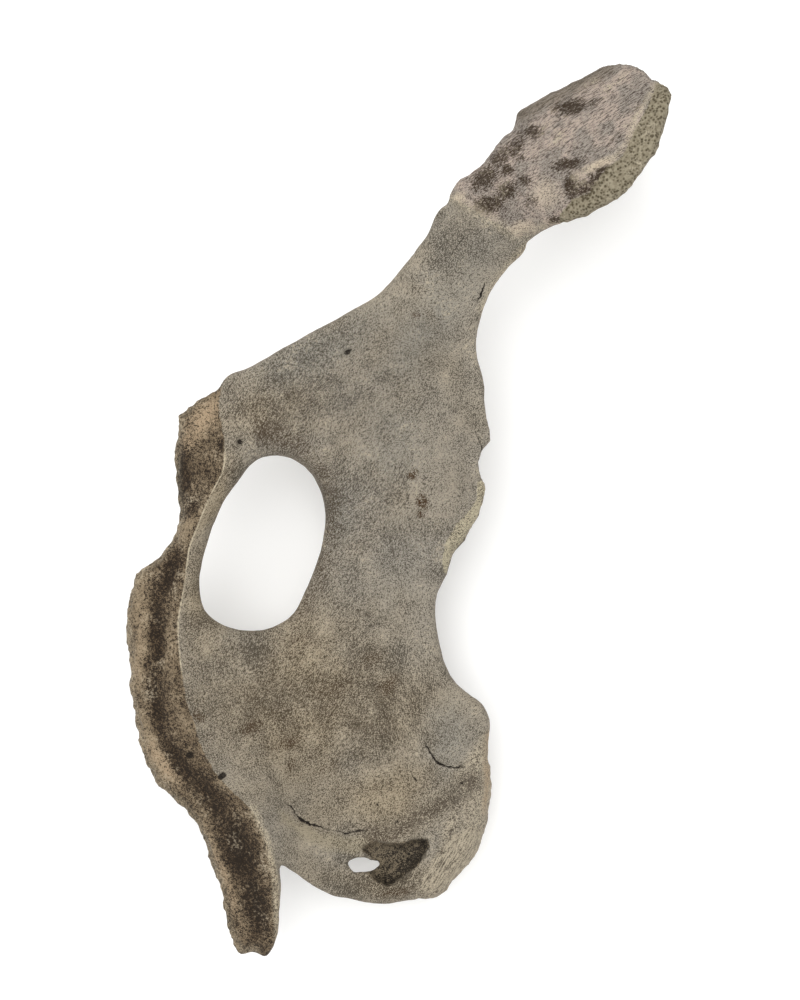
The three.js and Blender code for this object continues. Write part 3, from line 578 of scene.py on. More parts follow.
def in_socket(grid, z=0.0):
    """Places of the socket's own frame: tilted about the bone's length, then moved to its middle."""
    x, y, up = np.moveaxis(grid, -1, 0)
    cos, sin = math.cos(SOCKET_TILT), math.sin(SOCKET_TILT)
    across = SOCKET_MIDDLE[0] + cos * x - sin * up
    return np.stack([across, SOCKET_MIDDLE[1] + y, z + sin * x + cos * up], -1)


def turned(profile):
    """Profile of radius and height carried round an upright axis."""
    radius, height = np.asarray(profile, float).T
    circle = np.c_[np.cos(TURNS), np.sin(TURNS)]
    return np.dstack([radius[:, None] * circle[:, 0], radius[:, None] * circle[:, 1],
                      height[:, None] + 0 * TURNS])


def ball(radius):
    """Half circle, from pole to pole, carried round an upright axis."""
    tilt = np.linspace(-np.pi / 2, np.pi / 2, ROUND_STEPS // 2)
    return turned(np.c_[radius * np.cos(tilt), radius * np.sin(tilt)])


def notch():
    """Blunt oval section carried from the socket's middle out through its rim."""
    oval = blunt_round(TURNS, NOTCH_CORNER) * (NOTCH_WIDTH / 2, NOTCH_HEIGHT)
    out = np.linspace(0, NOTCH_LENGTH, STATION_STEPS)[:, None]
    x = out * math.cos(NOTCH_TURN) - oval[:, 0] * math.sin(NOTCH_TURN)
    y = out * math.sin(NOTCH_TURN) + oval[:, 0] * math.cos(NOTCH_TURN)
    return np.dstack([x, y, oval[:, 1] + 0 * out])


def waved(turns, waves):
    """Radius of a broken edge: one plus some sine waves, each with its count, size and start."""
    radius = 1
    for count, size, start in waves:
        radius = radius + size * np.sin(count * turns + start)
    return radius


def broken_hole():
    """Oval with a few waves in its radius, carried straight up through the bone."""
    radius = waved(TURNS, HOLE_WAVES)
    x = HOLE_MIDDLE[0] + HOLE_SIZE[0] / 2 * radius * np.cos(TURNS)
    y = HOLE_MIDDLE[1] + HOLE_SIZE[1] / 2 * radius * np.sin(TURNS)
    z = np.array(HOLE_REACH)[:, None]
    return np.dstack([x + 0 * z, y + 0 * z, z + 0 * x])


def broken_pit():
    """Outline of the pit with a few waves in it, scaled about its middle by a share for each level."""
    run = smooth_run(PIT_OUTLINE, PIT_STEPS, True)[:-1]
    middle = run.mean(0)
    turn = np.linspace(0, 2 * np.pi, len(run), endpoint=False)[:, None]
    run = middle + (run - middle) * waved(turn, PIT_WAVES)
    z, share = np.array(PIT_LEVELS).T[..., None]
    x = middle[0] + share * (run - middle)[:, 0]
    y = middle[1] + share * (run - middle)[:, 1]
    return np.dstack([x, y, z + 0 * x])


def closed_piece(name, grid, ring=False):
    """Closed mesh over a grid of closed sections, which are joined into a ring or have a fan over each
    end. Its triangles are turned round where their signed volume is negative."""
    rows, columns = grid.shape[:2]
    index = np.arange(rows * columns).reshape(rows, columns)
    beside = np.roll(index, -1, 1)
    here, there = (index, np.roll(index, -1, 0)) if ring else (index[:-1], index[1:])
    here_beside, there_beside = (beside, np.roll(beside, -1, 0)) if ring else (beside[:-1], beside[1:])
    triangles = [np.dstack([here, there, there_beside]), np.dstack([here, there_beside, here_beside])]
    if not ring:
        first, last = index[0], index[-1]
        triangles.append(np.c_[first[0] + 0 * first[2:], first[1:-1], first[2:]])
        triangles.append(np.c_[last[0] + 0 * last[2:], last[2:], last[1:-1]])
    triangles = np.concatenate([part.reshape(-1, 3) for part in triangles])
    points = grid.reshape(-1, 3)
    a, b, c = (points[triangles[:, k]] for k in range(3))
    if np.einsum("ij,ij", a, np.cross(b, c)) < 0:
        triangles = triangles[:, ::-1]
    mesh = bpy.data.meshes.new(name)
    mesh.from_pydata(points, [], triangles)
    piece = bpy.data.objects.new(name, mesh)
    bpy.context.scene.collection.objects.link(piece)
    return piece


def settle(piece):
    """Makes the result of the modifiers the piece's own mesh."""
    made = bpy.data.meshes.new_from_object(piece.evaluated_get(bpy.context.evaluated_depsgraph_get()))
    made.materials.clear()
    piece.modifiers.clear()
    piece.data = made


def fused_bone():
    """Main body, wing, plate and socket wall joined, the hollows cut out, and one even skin over all."""
    bone = closed_piece("hip_bone", main_body(), ring=True)
    joined = [
        closed_piece("wing_face", wing_face()),
        closed_piece("wing_plate", wing_plate()),
        closed_piece("socket_wall", in_socket(turned(WALL_PROFILE))),
    ]
    hollows = [
        closed_piece("socket_hollow", in_socket(ball(SOCKET_RADIUS), SOCKET_CENTRE_Z)),
        closed_piece("socket_fossa", in_socket(ball(FOSSA_RADIUS), FOSSA_CENTRE_Z)),
        closed_piece("socket_notch", in_socket(notch())),
        closed_piece("broken_hole", broken_hole()),
        closed_piece("broken_pit", broken_pit()),
    ]
    for other in joined + hollows:
        boolean = bone.modifiers.new(other.name, "BOOLEAN")
        boolean.operation = "UNION" if other in joined else "DIFFERENCE"
        boolean.solver = "MANIFOLD"
        boolean.object = other
    skin = bone.modifiers.new("skin", "REMESH")
    skin.mode = "VOXEL"
    skin.voxel_size = SKIN_VOXEL
    settle(bone)
    for other in joined + hollows:
        bpy.data.objects.remove(other)
    return bone


def read_points(mesh):
    """Vertex positions as an array."""
    points = np.empty(len(mesh.vertices) * 3, np.float32)
    mesh.vertices.foreach_get("co", points)
    return points.reshape(-1, 3).astype(float)


def read_normals(mesh):
    """Vertex normals as an array."""
    normals = np.empty(len(mesh.vertices) * 3, np.float32)
    mesh.vertex_normals.foreach_get("vector", normals)
    return normals.reshape(-1, 3).astype(float)


def write_points(mesh, points):
    """Puts an array of positions back into the mesh."""
    mesh.vertices.foreach_set("co", points.astype(np.float32).ravel())
    mesh.update()


def relaxed(mesh, points, weight, passes):
    """Points drawn towards the mean of their neighbours along the edges, by a weight, some times."""
    edges = np.empty(len(mesh.edges) * 2, np.int32)
    mesh.edges.foreach_get("vertices", edges)
    a, b = edges.reshape(-1, 2).T
    count = np.bincount(edges, minlength=len(points))[:, None]

    def gathered(values):
        return np.bincount(a, values[b], len(values)) + np.bincount(b, values[a], len(values))

    for _ in range(passes):
        total = np.stack([gathered(column) for column in points.T], axis=1)
        points = points + weight[:, None] * (total / count - points)
    return points


def lattice_noise(points, size, seed):
    """Smooth random field from -1 to 1: random values on a cubic lattice, joined by smooth steps along its
    three axes. A size of three numbers stretches the lattice."""
    table = np.random.default_rng(seed).uniform(-1, 1, (LATTICE,) * 3)
    place = points / size
    cell = np.floor(place).astype(int)
    share = ease(place - cell)
    total = np.zeros(len(points))
    for corner in np.ndindex(2, 2, 2):
        weight = np.where(corner, share, 1 - share).prod(1)
        total += weight * table[tuple(((cell + corner) % LATTICE).T)]
    return total


def layered_noise(points, size, seed):
    """Lattice fields, each half as coarse and half as strong as the one before, over their strengths."""
    strengths = [0.5 ** k for k in range(NOISE_LAYERS)]
    layers = [strength * lattice_noise(points, strength * np.asarray(size), seed + k)
              for k, strength in enumerate(strengths)]
    return sum(layers) / sum(strengths)


def field(points, name):
    """One of the bone's random fields, by its size and seed."""
    return layered_noise(points, *FIELDS[name])


def along_grain(points, turn):
    """Points in axes that are turned about the upright, so that the first runs along a grain."""
    cos, sin = math.cos(math.radians(turn)), math.sin(math.radians(turn))
    x, y, z = points.T
    return np.c_[x * cos + y * sin, y * cos - x * sin, z]


def close_to(places, run, reach):
    """Whether each place is in the upright box of a run, widened by a reach."""
    return ((places > run.min(0) - reach) & (places < run.max(0) + reach)).all(1)


def region(places, pixels):
    """Distance in from an outline, negative outside it, kept within a reach."""
    outline = seen(*pixels)
    found = np.full(len(places), -float(SIGNED_REACH))
    close = close_to(places, outline, SIGNED_REACH)
    distance = run_distance(places[close], np.vstack([outline, outline[:1]]))
    signed = np.where(inside(places[close], outline), distance, -distance)
    found[close] = np.clip(signed, -SIGNED_REACH, SIGNED_REACH)
    return found


def band(places, run, half_width):
    """One on a run of points, falling smoothly to nothing at half the band's width."""
    found = np.zeros(len(places))
    close = close_to(places, run, half_width)
    found[close] = 1 - ease(run_distance(places[close], run) / half_width)
    return found


def spots(places, ovals):
    """Strongest of some soft ovals, each with its middle, half length and half width in pixels, turn and
    strength: full to a third of the way out, then falling evenly to nothing past its edge."""
    found = np.zeros(len(places))
    for x, y, length, width, turn, strength in ovals:
        offset = along_grain(np.c_[places - seen((x, y)), 0 * places[:, 0]], turn)[:, :2] / MM_PER_PIXEL
        out = np.hypot(offset[:, 0] / length, offset[:, 1] / width)
        found = np.maximum(found, strength * np.clip(SPOT_EDGE - out, 0, 1))
    return found


def depth_below(points):
    """Depth of each point under the bone's upper face, taken a block at a time to save memory."""
    blocks = np.array_split(points, len(points) // BLOCK + 1)
    return np.concatenate([upper_height(block[:, :2]) - block[:, 2] for block in blocks])


def crack_lines(places):
    """Distance from the nearest crack, positive on one side of its run and negative on the other, the
    crack's width, and a fade that is one along the run and nothing at its ends and past its reach."""
    nearest = np.full(len(places), float(CRACK_REACH))
    aside, width, fade = nearest.copy(), np.zeros(len(places)), np.zeros(len(places))
    for crack in CRACKS:
        run = seen(*[point[:2] for point in crack])
        widths = [point[2] for point in crack]
        for number, (start, side) in enumerate(zip(run[:-1], np.diff(run, axis=0))):
            toward = places - start
            along = np.clip(toward @ side / (side @ side), 0, 1)
            distance = np.linalg.norm(toward - along[:, None] * side, axis=1)
            close = distance < nearest
            way = (number + along[close]) / (len(run) - 1)
            nearest[close] = distance[close]
            aside[close] = np.copysign(distance, side[0] * toward[:, 1] - side[1] * toward[:, 0])[close]
            width[close] = widths[number] + along[close] * (widths[number + 1] - widths[number])
            ends = ease(CRACK_TAPER * way * (1 - way))
            fade[close] = ends * ease(2 * (CRACK_REACH - distance[close]) / CRACK_REACH)
    return aside, width, fade


def marks(points, normals):
    """Where each finish lies on the bone, by the places that an eye straight above sees: shares from 0 to
    1, or distances in millimetres that are positive inside a finish."""
    places = points[:, :2]
    loose = places + WANDER * np.c_[field(points, "wander_x"), field(points, "wander_y")]
    upper = ease((normals[:, 2] - UPPER_TILT) / UPPER_SPAN)
    depth = depth_below(points)
    west = points[:, 0] < SYMPHYSIS_EAST
    drop = np.full(len(points), -float(SIGNED_REACH))
    fall = floor_height(places[west]) - symphysis_face(places[west])
    drop[west] = np.clip(fall, -SIGNED_REACH, SIGNED_REACH)
    lip_points = BORDER["end of the symphysis"][LIP_START:] + BORDER["symphysis"]
    lip_run = smooth_run(lip_points, LIP_STEPS, False)
    aside, width, fade = crack_lines(places)
    socket = np.linalg.norm(points - (*SOCKET_MIDDLE, SOCKET_CENTRE_Z), axis=1)
    in_hollow = ease((SOCKET_RADIUS + SOCKET_MARGIN - socket) / SOCKET_FADE)
    coxal_edge = COXAL_TOP - points[:, 2] + COXAL_WAVE * field(points, "tuber_edge")
    coxal_side = ease((points[:, 1] - COXAL_FRONT) / COXAL_FRONT_FADE)

    def stripe(name, pixels):
        """Band of its own width along a line."""
        return band(places, seen(*pixels), BAND_WIDTH[name])

    def crust(pixels, thickness):
        """Distance in from an outline or up from the foot of the crust under it, whichever is less."""
        return np.minimum(region(places, pixels), thickness - depth)

    def shown(pixels):
        """Distance in from an outline, on the upper side only."""
        return np.where(upper > 0, region(places, pixels), -SIGNED_REACH)

    stained_rim = FORAMEN_STAIN_SHARE * stripe("foramen_stain", FORAMEN_STAIN)
    # painted highlight along the shaft's edge by the neck
    neck_highlight = NECK_HIGHLIGHT_SHARE * stripe("neck_highlight", NECK_HIGHLIGHT)
    return {
        "upper": upper,
        "face_drop": drop,
        "face_tone": spots(loose, FACE_PALE) - spots(loose, FACE_DARK),
        "lip": band(places, lip_run, BAND_WIDTH["lip"]),
        # painted highlight along the symphysis crest
        "crest_highlight": upper * stripe("crest_highlight", CREST_HIGHLIGHT),
        "rough_end": crust(ROUGH_END, WING_CRUST),
        "spongy": crust(SPONGY_STRIP, WING_CRUST),
        "front_strip": crust(FRONT_STRIP, WING_CRUST),
        "ridge": upper * stripe("ridge", WING_RIDGE),
        "neck_lumps": upper * stripe("neck_lumps", NECK_LINE),
        "soil": upper * spots(loose, SOIL),
        "end_pale": upper * spots(loose, END_PALE),
        "warm": spots(loose, WARM),
        "cool": spots(loose, COOL),
        "upright": spots(places, UPRIGHT_GRAIN),
        # painted light and shade on the upper side: lighter and darker patches
        "tone": upper * (spots(loose, PAINTED_LIGHT_PATCHES) - spots(loose, PAINTED_SHADE_PATCHES)),
        "below_crack": shown(BELOW_CRACK),
        "tuber_lines": region(places, TUBER_LINES),
        "tan_edge": stripe("tan_edge", TAN_EDGE) * ease(2 - 2 * depth / TAN_DEPTH),
        "stain": upper * np.maximum(spots(loose, STAINS), stained_rim),
        "tan": upper * spots(loose, TAN),
        "pale": upper * np.maximum(stripe("prong_rim", PRONG_RIM), neck_highlight),
        "chip": crust(SPINE_CHIP, CHIP_DEPTH),
        "spine": stripe("spine", SPINE_EDGE),
        "knobbly": ease(0.5 + region(places, TUBER_BORDER) / KNOBBLY_FADE),
        "coxal_tuber": ease(coxal_edge / COXAL_FADE) * coxal_side,
        "growth_zone": upper * stripe("growth_zone", GROWTH_ZONE),
        "foramen": upper * spots(places, FORAMINA),
        "pit_dark": spots(loose, PIT_DARK),
        "pit": shown(PIT_SEEN),
        "socket": (1 - upper) * in_hollow * ease((SOCKET_TOP - points[:, 2]) / SOCKET_FADE),
        "crack": aside,
        "crack_width": width,
        "crack_fade": upper * fade,
    }


def mottles(points):
    """Soft random patches in two sizes, about a half."""
    return {name: 0.5 + swing * field(points, name) for name, swing in MOTTLE_SWING.items()}


def bulge(distance, spread):
    """Bell curve: one at no distance, falling with the square of the distance over the spread."""
    return np.exp(-(distance / spread) ** 2)


def relief(points, found):
    """Height of the bone's own surface over the smooth form, in millimetres along the normals: for each
    kind of surface, its share times the random fields it has, with lips and hollows as bell curves."""
    fields = {name: field(points, name) for name in ("fine", "waves", "lumps", "swells", "knobs")}
    fields["streaks"] = field(along_grain(points, STREAK_TURN), "streaks")
    lumps = fields["lumps"]

    def rough(kind):
        return sum(height * fields[name] for name, height in RELIEF[kind].items())

    def share_of(name, fade):
        return ease(0.5 + found[name] / fade)

    upper, up = found["upper"], points[:, 2]
    spongy = share_of("spongy", EDGE_FADE)
    joint_face = share_of("face_drop", EDGE_FADE) * upper
    ragged = joint_face + SPONGY_RAGGED * spongy
    for name, share in RAGGED.items():
        ragged = ragged + share * found[name]
    reach = np.hypot(*(points[:, :2] - SOCKET_MIDDLE).T)
    wall = ease((WALL_OUTER - reach) / WALL_OUTER_FADE) * ease((reach - WALL_INNER) / WALL_INNER_FADE)
    lip = SOCKET_LIP_HEIGHT * bulge(up - SOCKET_LIP_LEVEL, SOCKET_LIP_SPREAD)
    neck = SOCKET_NECK_DEPTH * bulge(up - SOCKET_NECK_LEVEL, SOCKET_NECK_SPREAD)
    height = rough("everywhere") + (1 - upper) * rough("beneath")
    height += (1 - upper) * wall * (lip - neck + rough("socket_wall"))
    height += (TUBER_KNOBS * found["knobbly"] + found["coxal_tuber"]) * rough("tubers")
    height += ragged * rough("ragged")
    height += share_of("rough_end", EDGE_FADE) * rough("rough_end")
    height += found["ridge"] * (RIDGE_HEIGHT + RIDGE_LUMPS * lumps) - SPONGY_DEPTH * spongy
    height += found["neck_lumps"] * np.maximum(0, NECK_LUMP_HEIGHT + NECK_LUMP_SWING * lumps)
    height += CREST_HEIGHT * bulge(found["face_drop"], CREST_SPREAD) * upper
    height += FACE_RELIEF * joint_face * found["face_tone"]
    height += found["growth_zone"] * rough("growth_zone")
    height -= CHIP_HOLLOW * share_of("chip", CHIP_FADE)
    height -= SOIL_HOLLOW * found["soil"] * np.maximum(0, lumps)
    height -= found["crack_fade"] * found["crack_width"] * bulge(found["crack"], CRACK_SPREAD)
    height -= FORAMEN_DEPTH * found["foramen"]
    return height


def shade(red, green, blue):
    """Colour from its picture values of 0 to 255, as light: a straight foot, then a power curve."""
    picture = np.array([red, green, blue]) / 255
    light = np.where(picture <= 0.04045, picture / 12.92, ((picture + 0.055) / 1.055) ** 2.4)
    return (*light, 1)


GREY_BROWN = shade(148, 141, 129)
WARM_BEIGE = shade(155, 142, 119)
COOL_GREY = shade(134, 131, 122)
FLECK_GREY = shade(74, 69, 60)
FLECK_BROWN = shade(68, 58, 45)
BROWN_STAIN = shade(62, 46, 30)
SOCKET_BEIGE = shade(166, 154, 131)
END_GREY = shade(145, 137, 127)
END_PINK = shade(166, 152, 140)
END_BRIGHT = shade(190, 175, 154)
END_FLECK = shade(72, 62, 56)
# Grey-brown of the wing's front strip, darkened as painted shade of its slope turned from the light
SHADED_STRIP_GREY = shade(118, 109, 97)
OLIVE = shade(126, 117, 98)
OLIVE_PALE = shade(142, 134, 114)
PORE_DARK = shade(78, 70, 54)
FACE_SHADE = shade(37, 29, 21)
FACE_BROWN = shade(96, 80, 61)
FACE_BEIGE = shade(146, 130, 106)
FACE_TAN = shade(164, 143, 116)
KNOB_SHADE = shade(68, 59, 49)
KNOB_PALE = shade(174, 163, 142)
# Pale of rubbed edges, also painted as a highlight along ridges, rims and the symphysis crest
EDGE_PALE = shade(190, 178, 154)
EDGE_TAN = shade(172, 151, 122)
CHIP_YELLOW = shade(174, 165, 140)
SMOOTH_OLIVE = shade(152, 142, 120)
SOIL_DARK = shade(54, 44, 33)
PIT_BROWN = shade(118, 106, 87)
# Near black painted as shade inside the foramina and cracks, and in the darkest flecks of the pit
HOLLOW_SHADE = shade(26, 21, 17)
FLOOR_PALE = shade(245, 245, 244)

# Patterns of the finish: cell size in millimetres, detail, stretch along its grain, and the grain's turn
PATTERNS = {
    "grit": (1.8, 1),
    "speck": (0.55, 0),
    "fibre": (1.0, 1, (2.2, 0.42, 0.5), 57),
    "upright": (1.0, 1, (2.4, 0.42, 0.5), 98),
    "streak": (1.0, 1, (4.5, 0.5, 0.8), 32),
    "line": (1.0, 1, (6, 0.7, 0.9), 60),
}
PORE_SIZE = 1.7
NOISE_ROUGHNESS = 0.6
GRAIN_CONTRAST = 1.8
FLECK_RANGE = (0.14, 0.86)
MOST_COVER = 0.9
SPECULAR_LEVEL = 0.15

# Borders of the finishes: how far each wanders and how it fades, in millimetres, and how much each covers
BORDER_FADE = (-0.5, 0.5)
BORDER_WANDER = {"rough_end": 1.2, "spongy": 1.2, "face_drop": 1, "tuber_lines": 1.5, "chip": 0.9,
                 "pit": 1.2}
COVER = {"below_crack": 0.7, "socket": 0.8, "front_strip": 0.8, "tuber_lines": 0.7, "chip": 0.85,
         "pit": 0.9}
# Pale along ridges and rims: partly rubbed wear, partly painted highlight
WORN_AND_HIGHLIT_SHARE = {"ridge": 0.6, "neck_lumps": 0.6, "lip": 0.35}


def bone_surface(bone):
    """Rounds the joints of the fused forms, raises the relief, thins the mesh, most on the lower side, and
    sets the marks as attributes."""
    mesh = bone.data
    points = read_points(mesh)
    lower = 1 - ease((read_normals(mesh)[:, 2] - LOWER_TILT) / LOWER_SPAN)
    points = relaxed(mesh, points, LOWER_WEIGHT * lower, LOWER_PASSES)
    points = relaxed(mesh, points, np.full(len(points), UPPER_WEIGHT), UPPER_PASSES)
    write_points(mesh, points)
    normals = read_normals(mesh)
    points = points + normals * relief(points, marks(points, normals))[:, None]
    points[:, 2] = np.maximum(points[:, 2], 0)
    write_points(mesh, points)
    thinned = bone.vertex_groups.new(name="thinned")
    thinned.add(np.flatnonzero(lower > 0.5).tolist(), 1.0, "REPLACE")
    thinned.add(np.flatnonzero(lower <= 0.5).tolist(), UPPER_THINNING, "REPLACE")
    thin = bone.modifiers.new("thin", "DECIMATE")
    thin.ratio = MOST_TRIANGLES / (2 * len(mesh.polygons))
    thin.vertex_group = thinned.name
    settle(bone)
    bone.vertex_groups.clear()
    mesh = bone.data
    points = read_points(mesh)
    for name, values in {**marks(points, read_normals(mesh)), **mottles(points)}.items():
        mesh.attributes.new(name, "FLOAT", "POINT").data.foreach_set("value", values.astype(np.float32))
    points[:, 2] = np.maximum(points[:, 2], 0)
    write_points(mesh, true_places(points) * MM)
    mesh.shade_smooth()


def true_places(points):
    """Places in the part's own frame: plan positions drawn in towards the eye's axis by their height over
    the eye's, with the axis moved to its place."""
    plan = points[:, :2] * (1 - points[:, 2:] / EYE_HEIGHT) + AXIS_PLACE
    return np.c_[plan, points[:, 2]]


class Value:
    """One output of a material's node. Arithmetic on it adds Math nodes."""

    def __init__(self, finish, socket):
        self.finish = finish
        self.socket = socket

    def math(self, operation, *terms):
        return self.finish.node("Math", {"operation": operation}, dict(enumerate(terms)))

    def __add__(self, other):
        return self.math("ADD", self, other)

    def __radd__(self, other):
        return self.math("ADD", other, self)

    def __sub__(self, other):
        return self.math("SUBTRACT", self, other)

    def __rsub__(self, other):
        return self.math("SUBTRACT", other, self)

    def __mul__(self, other):
        return self.math("MULTIPLY", self, other)

    def __rmul__(self, other):
        return self.math("MULTIPLY", other, self)

    def least(self, other):
        return self.math("MINIMUM", self, other)

    def most(self, other):
        return self.math("MAXIMUM", self, other)

    def held(self):
        """Value kept between nothing and the most that a colour may cover."""
        return self.finish.node("Clamp", {}, {"Value": self, "Max": MOST_COVER})

    def size(self):
        return self.math("ABSOLUTE", self)

    def step(self, start, end):
        """Smooth step from nothing at start to one at end."""
        return self.finish.node("MapRange", {"interpolation_type": "SMOOTHSTEP"},
                                {"Value": self, "From Min": start, "From Max": end})


class Finish:
    """A material and the making of its nodes."""

    def __init__(self, name):
        self.material = bpy.data.materials.new(name)
        self.material.use_nodes = True
        self.tree = self.material.node_tree
        self.tree.nodes.clear()

    def node(self, kind, settings, sockets, output=0):
        """Adds a node: its type, its settings, and the values or links of its sockets."""
        made = self.tree.nodes.new("ShaderNode" + kind)
        for name, value in settings.items():
            setattr(made, name, value)
        for name, value in sockets.items():
            if isinstance(value, Value):
                self.tree.links.new(value.socket, made.inputs[name])
            else:
                made.inputs[name].default_value = value
        return Value(self, made.outputs[output]) if made.outputs else None

    def mix(self, share, first, second):
        """Colour between two colours."""
        return self.node("Mix", {"data_type": "RGBA"}, {0: share, 6: first, 7: second}, 2)

    def noise(self, place, size, detail, stretch=(1, 1, 1), turn=0.0):
        """Noise with cells of a size in millimetres, stretched along axes turned about the upright."""
        scale = [size * MM * share for share in stretch]
        turned = self.node("Mapping", {"vector_type": "TEXTURE"},
                           {"Vector": place, "Rotation": (0, 0, math.radians(turn)), "Scale": scale})
        return self.node("TexNoise", {}, {"Vector": turned, "Scale": 1.0, "Detail": detail,
                                          "Roughness": NOISE_ROUGHNESS})

    def pores(self, place, size):
        """Distance from the nearest of many scattered points, in shares of their spacing."""
        return self.node("TexVoronoi", {}, {"Vector": place, "Scale": 1 / (size * MM)}, "Distance")

    def surface(self, colour, roughness, height=None, glow=0.0):
        """Principled surface with a bump whose height is in millimetres, and a pale glow of its own."""
        sockets = {"Base Color": colour, "Roughness": roughness, "Specular IOR Level": SPECULAR_LEVEL,
                   "Emission Color": (1, 1, 1, 1), "Emission Strength": glow}
        if height is not None:
            sockets["Normal"] = self.node("Bump", {}, {"Height": height, "Distance": MM})
        shader = self.node("BsdfPrincipled", {}, sockets)
        self.node("OutputMaterial", {}, {"Surface": shader})
        return self.material


class BoneFinish(Finish):
    """Dry weathered bone: every part is a pale tone flecked with a dark one, by a pattern and a share of
    its own. Each layer of the finish is laid over the colour of those before it."""

    def __init__(self):
        super().__init__("weathered_bone")
        place = self.node("TexCoord", {}, {}, "Object")
        self.patterns = {name: self.noise(place, *settings) for name, settings in PATTERNS.items()}
        self.patterns |= {name: self.part(name) for name in MOTTLE_SWING}
        self.pore = self.pores(place, PORE_SIZE)
        self.upper = self.part("upper")
        fibre = self.patterns["fibre"]
        grain = fibre + self.part("upright").least(1) * (self.patterns["upright"] - fibre)
        self.grain = self.swing(0.5, speck=1.6) + GRAIN_CONTRAST * (grain - 0.5)
        self.pitted = self.swing(0.5, grit=1.5, speck=1.5)

    def part(self, name):
        """One of the marks, which the mesh holds as an attribute."""
        return self.node("Attribute", {"attribute_name": name}, {}, "Fac")

    def swing(self, base, **weights):
        """Base plus some patterns, each taken about a half and times its weight."""
        for name, weight in weights.items():
            base = base + weight * (self.patterns[name] - 0.5)
        return base

    def flecked(self, pattern, dark, pale):
        """Pale tone where the pattern is high, dark tone where it is low."""
        return self.mix(pattern.step(*FLECK_RANGE), dark, pale)

    def inside_of(self, name):
        """Share of a finish from its signed distance, with a border that wanders by some millimetres."""
        return (self.part(name) + BORDER_WANDER[name] * self.swing(0, grit=2, blotch=3)).step(*BORDER_FADE)

    def plain(self):
        """Fibrous flecks on grey and warm patches, with painted light and shade, stains, a smooth strip
        and the paler socket.
        """
        warm, stain = self.part("warm"), self.part("stain")
        mottled = (0.5 + 0.5 * self.upper) * self.swing(0, blotch=0.85, broad=0.7)
        # the tone holds the painted light and shade patches besides its grit and mottling
        tone = self.swing(0.06, grit=0.3) + 0.16 * self.part("tone") + mottled
        pale = self.mix((0.7 * warm + self.swing(0.2, broad=1.4)).held(), GREY_BROWN, WARM_BEIGE)
        pale = self.mix((self.part("cool") * self.swing(0.57, blotch=1.8)).held(), pale, COOL_GREY)
        dark = self.mix((warm + self.swing(0, broad=1.5)).held(), FLECK_GREY, FLECK_BROWN)
        dark = self.mix(stain.least(1), dark, BROWN_STAIN)
        stained = stain * self.swing(0.6, grit=2.2, blotch=1.2).most(0)
        colour = self.flecked(self.grain + tone - 0.5 * stained, dark, pale)
        smooth = (self.part("below_crack") + self.swing(0, blotch=8)).step(-2, 4)
        smooth_colour = self.flecked(self.grain + tone + 0.2, FLECK_BROWN, SMOOTH_OLIVE)
        colour = self.mix(COVER["below_crack"] * smooth, colour, smooth_colour)
        hollow = self.flecked(self.grain + self.swing(0.2, blotch=0.5), FLECK_BROWN, SOCKET_BEIGE)
        return self.mix(COVER["socket"] * self.part("socket"), colour, hollow)

    def joint_end(self, colour):
        """Streaked end of the wing with soil in its hollows, its darker grey-brown front, partly painted
        shade, and its spongy border.
        """
        soil, bright = self.part("soil"), self.part("end_pale")
        soiled = self.swing(1.4 * soil, grit=2.2, speck=2.2, blotch=1.2).step(0.5, 0.95)
        soiled = soiled * (4 * soil).least(1)
        pale = self.mix(self.swing(0.5, blotch=1, broad=0.4).step(0.38, 0.62), END_GREY, END_PINK)
        pale = self.mix(bright, pale, END_BRIGHT)
        dark = self.mix(soiled, END_FLECK, SOIL_DARK)
        grain = self.swing(0.5, streak=2.2, speck=0.9)
        tone = self.swing(0.12, grit=0.5, blotch=0.4) + 0.2 * bright - 0.58 * soiled
        colour = self.mix(self.inside_of("rough_end"), colour, self.flecked(grain + tone, dark, pale))
        # front strip: grey-brown, partly painted shade
        front = (self.part("front_strip") + self.swing(0, blotch=6, grit=3)).step(-4, 4)
        strip = self.flecked(grain + self.swing(0, blotch=0.5), FLECK_BROWN, SHADED_STRIP_GREY)
        colour = self.mix(COVER["front_strip"] * front, colour, strip)
        sponge = 1.8 * self.pore + self.swing(-0.2, speck=0.6, blotch=0.5) - 0.5 * soiled
        ground = self.mix(self.patterns["grit"].step(0.35, 0.65), OLIVE, OLIVE_PALE)
        return self.mix(self.inside_of("spongy"), colour, self.flecked(sponge, PORE_DARK, ground))

    def symphysis(self, colour):
        """Dark pits on the brown and tan joint face, and its pale crest, rubbed and with a painted
        highlight along it.
        """
        tone = self.part("face_tone")
        pale = self.mix((0.55 * tone + self.swing(0.45, blotch=1.2)).held(), FACE_BROWN, FACE_BEIGE)
        pale = self.mix(self.part("tan").least(MOST_COVER), pale, FACE_TAN)
        pits = 0.32 * tone + self.swing(0.5, grit=1.4, speck=1.5, blotch=0.5)
        face = self.inside_of("face_drop") * self.upper
        colour = self.mix(face, colour, self.flecked(pits, FACE_SHADE, pale))
        # painted highlight along the crest
        crest = (1 - self.part("face_drop").size().step(0.2, 0.8)) * self.part("crest_highlight")
        return self.mix((crest * self.swing(0.6, grit=2.6)).held(), colour, EDGE_PALE)

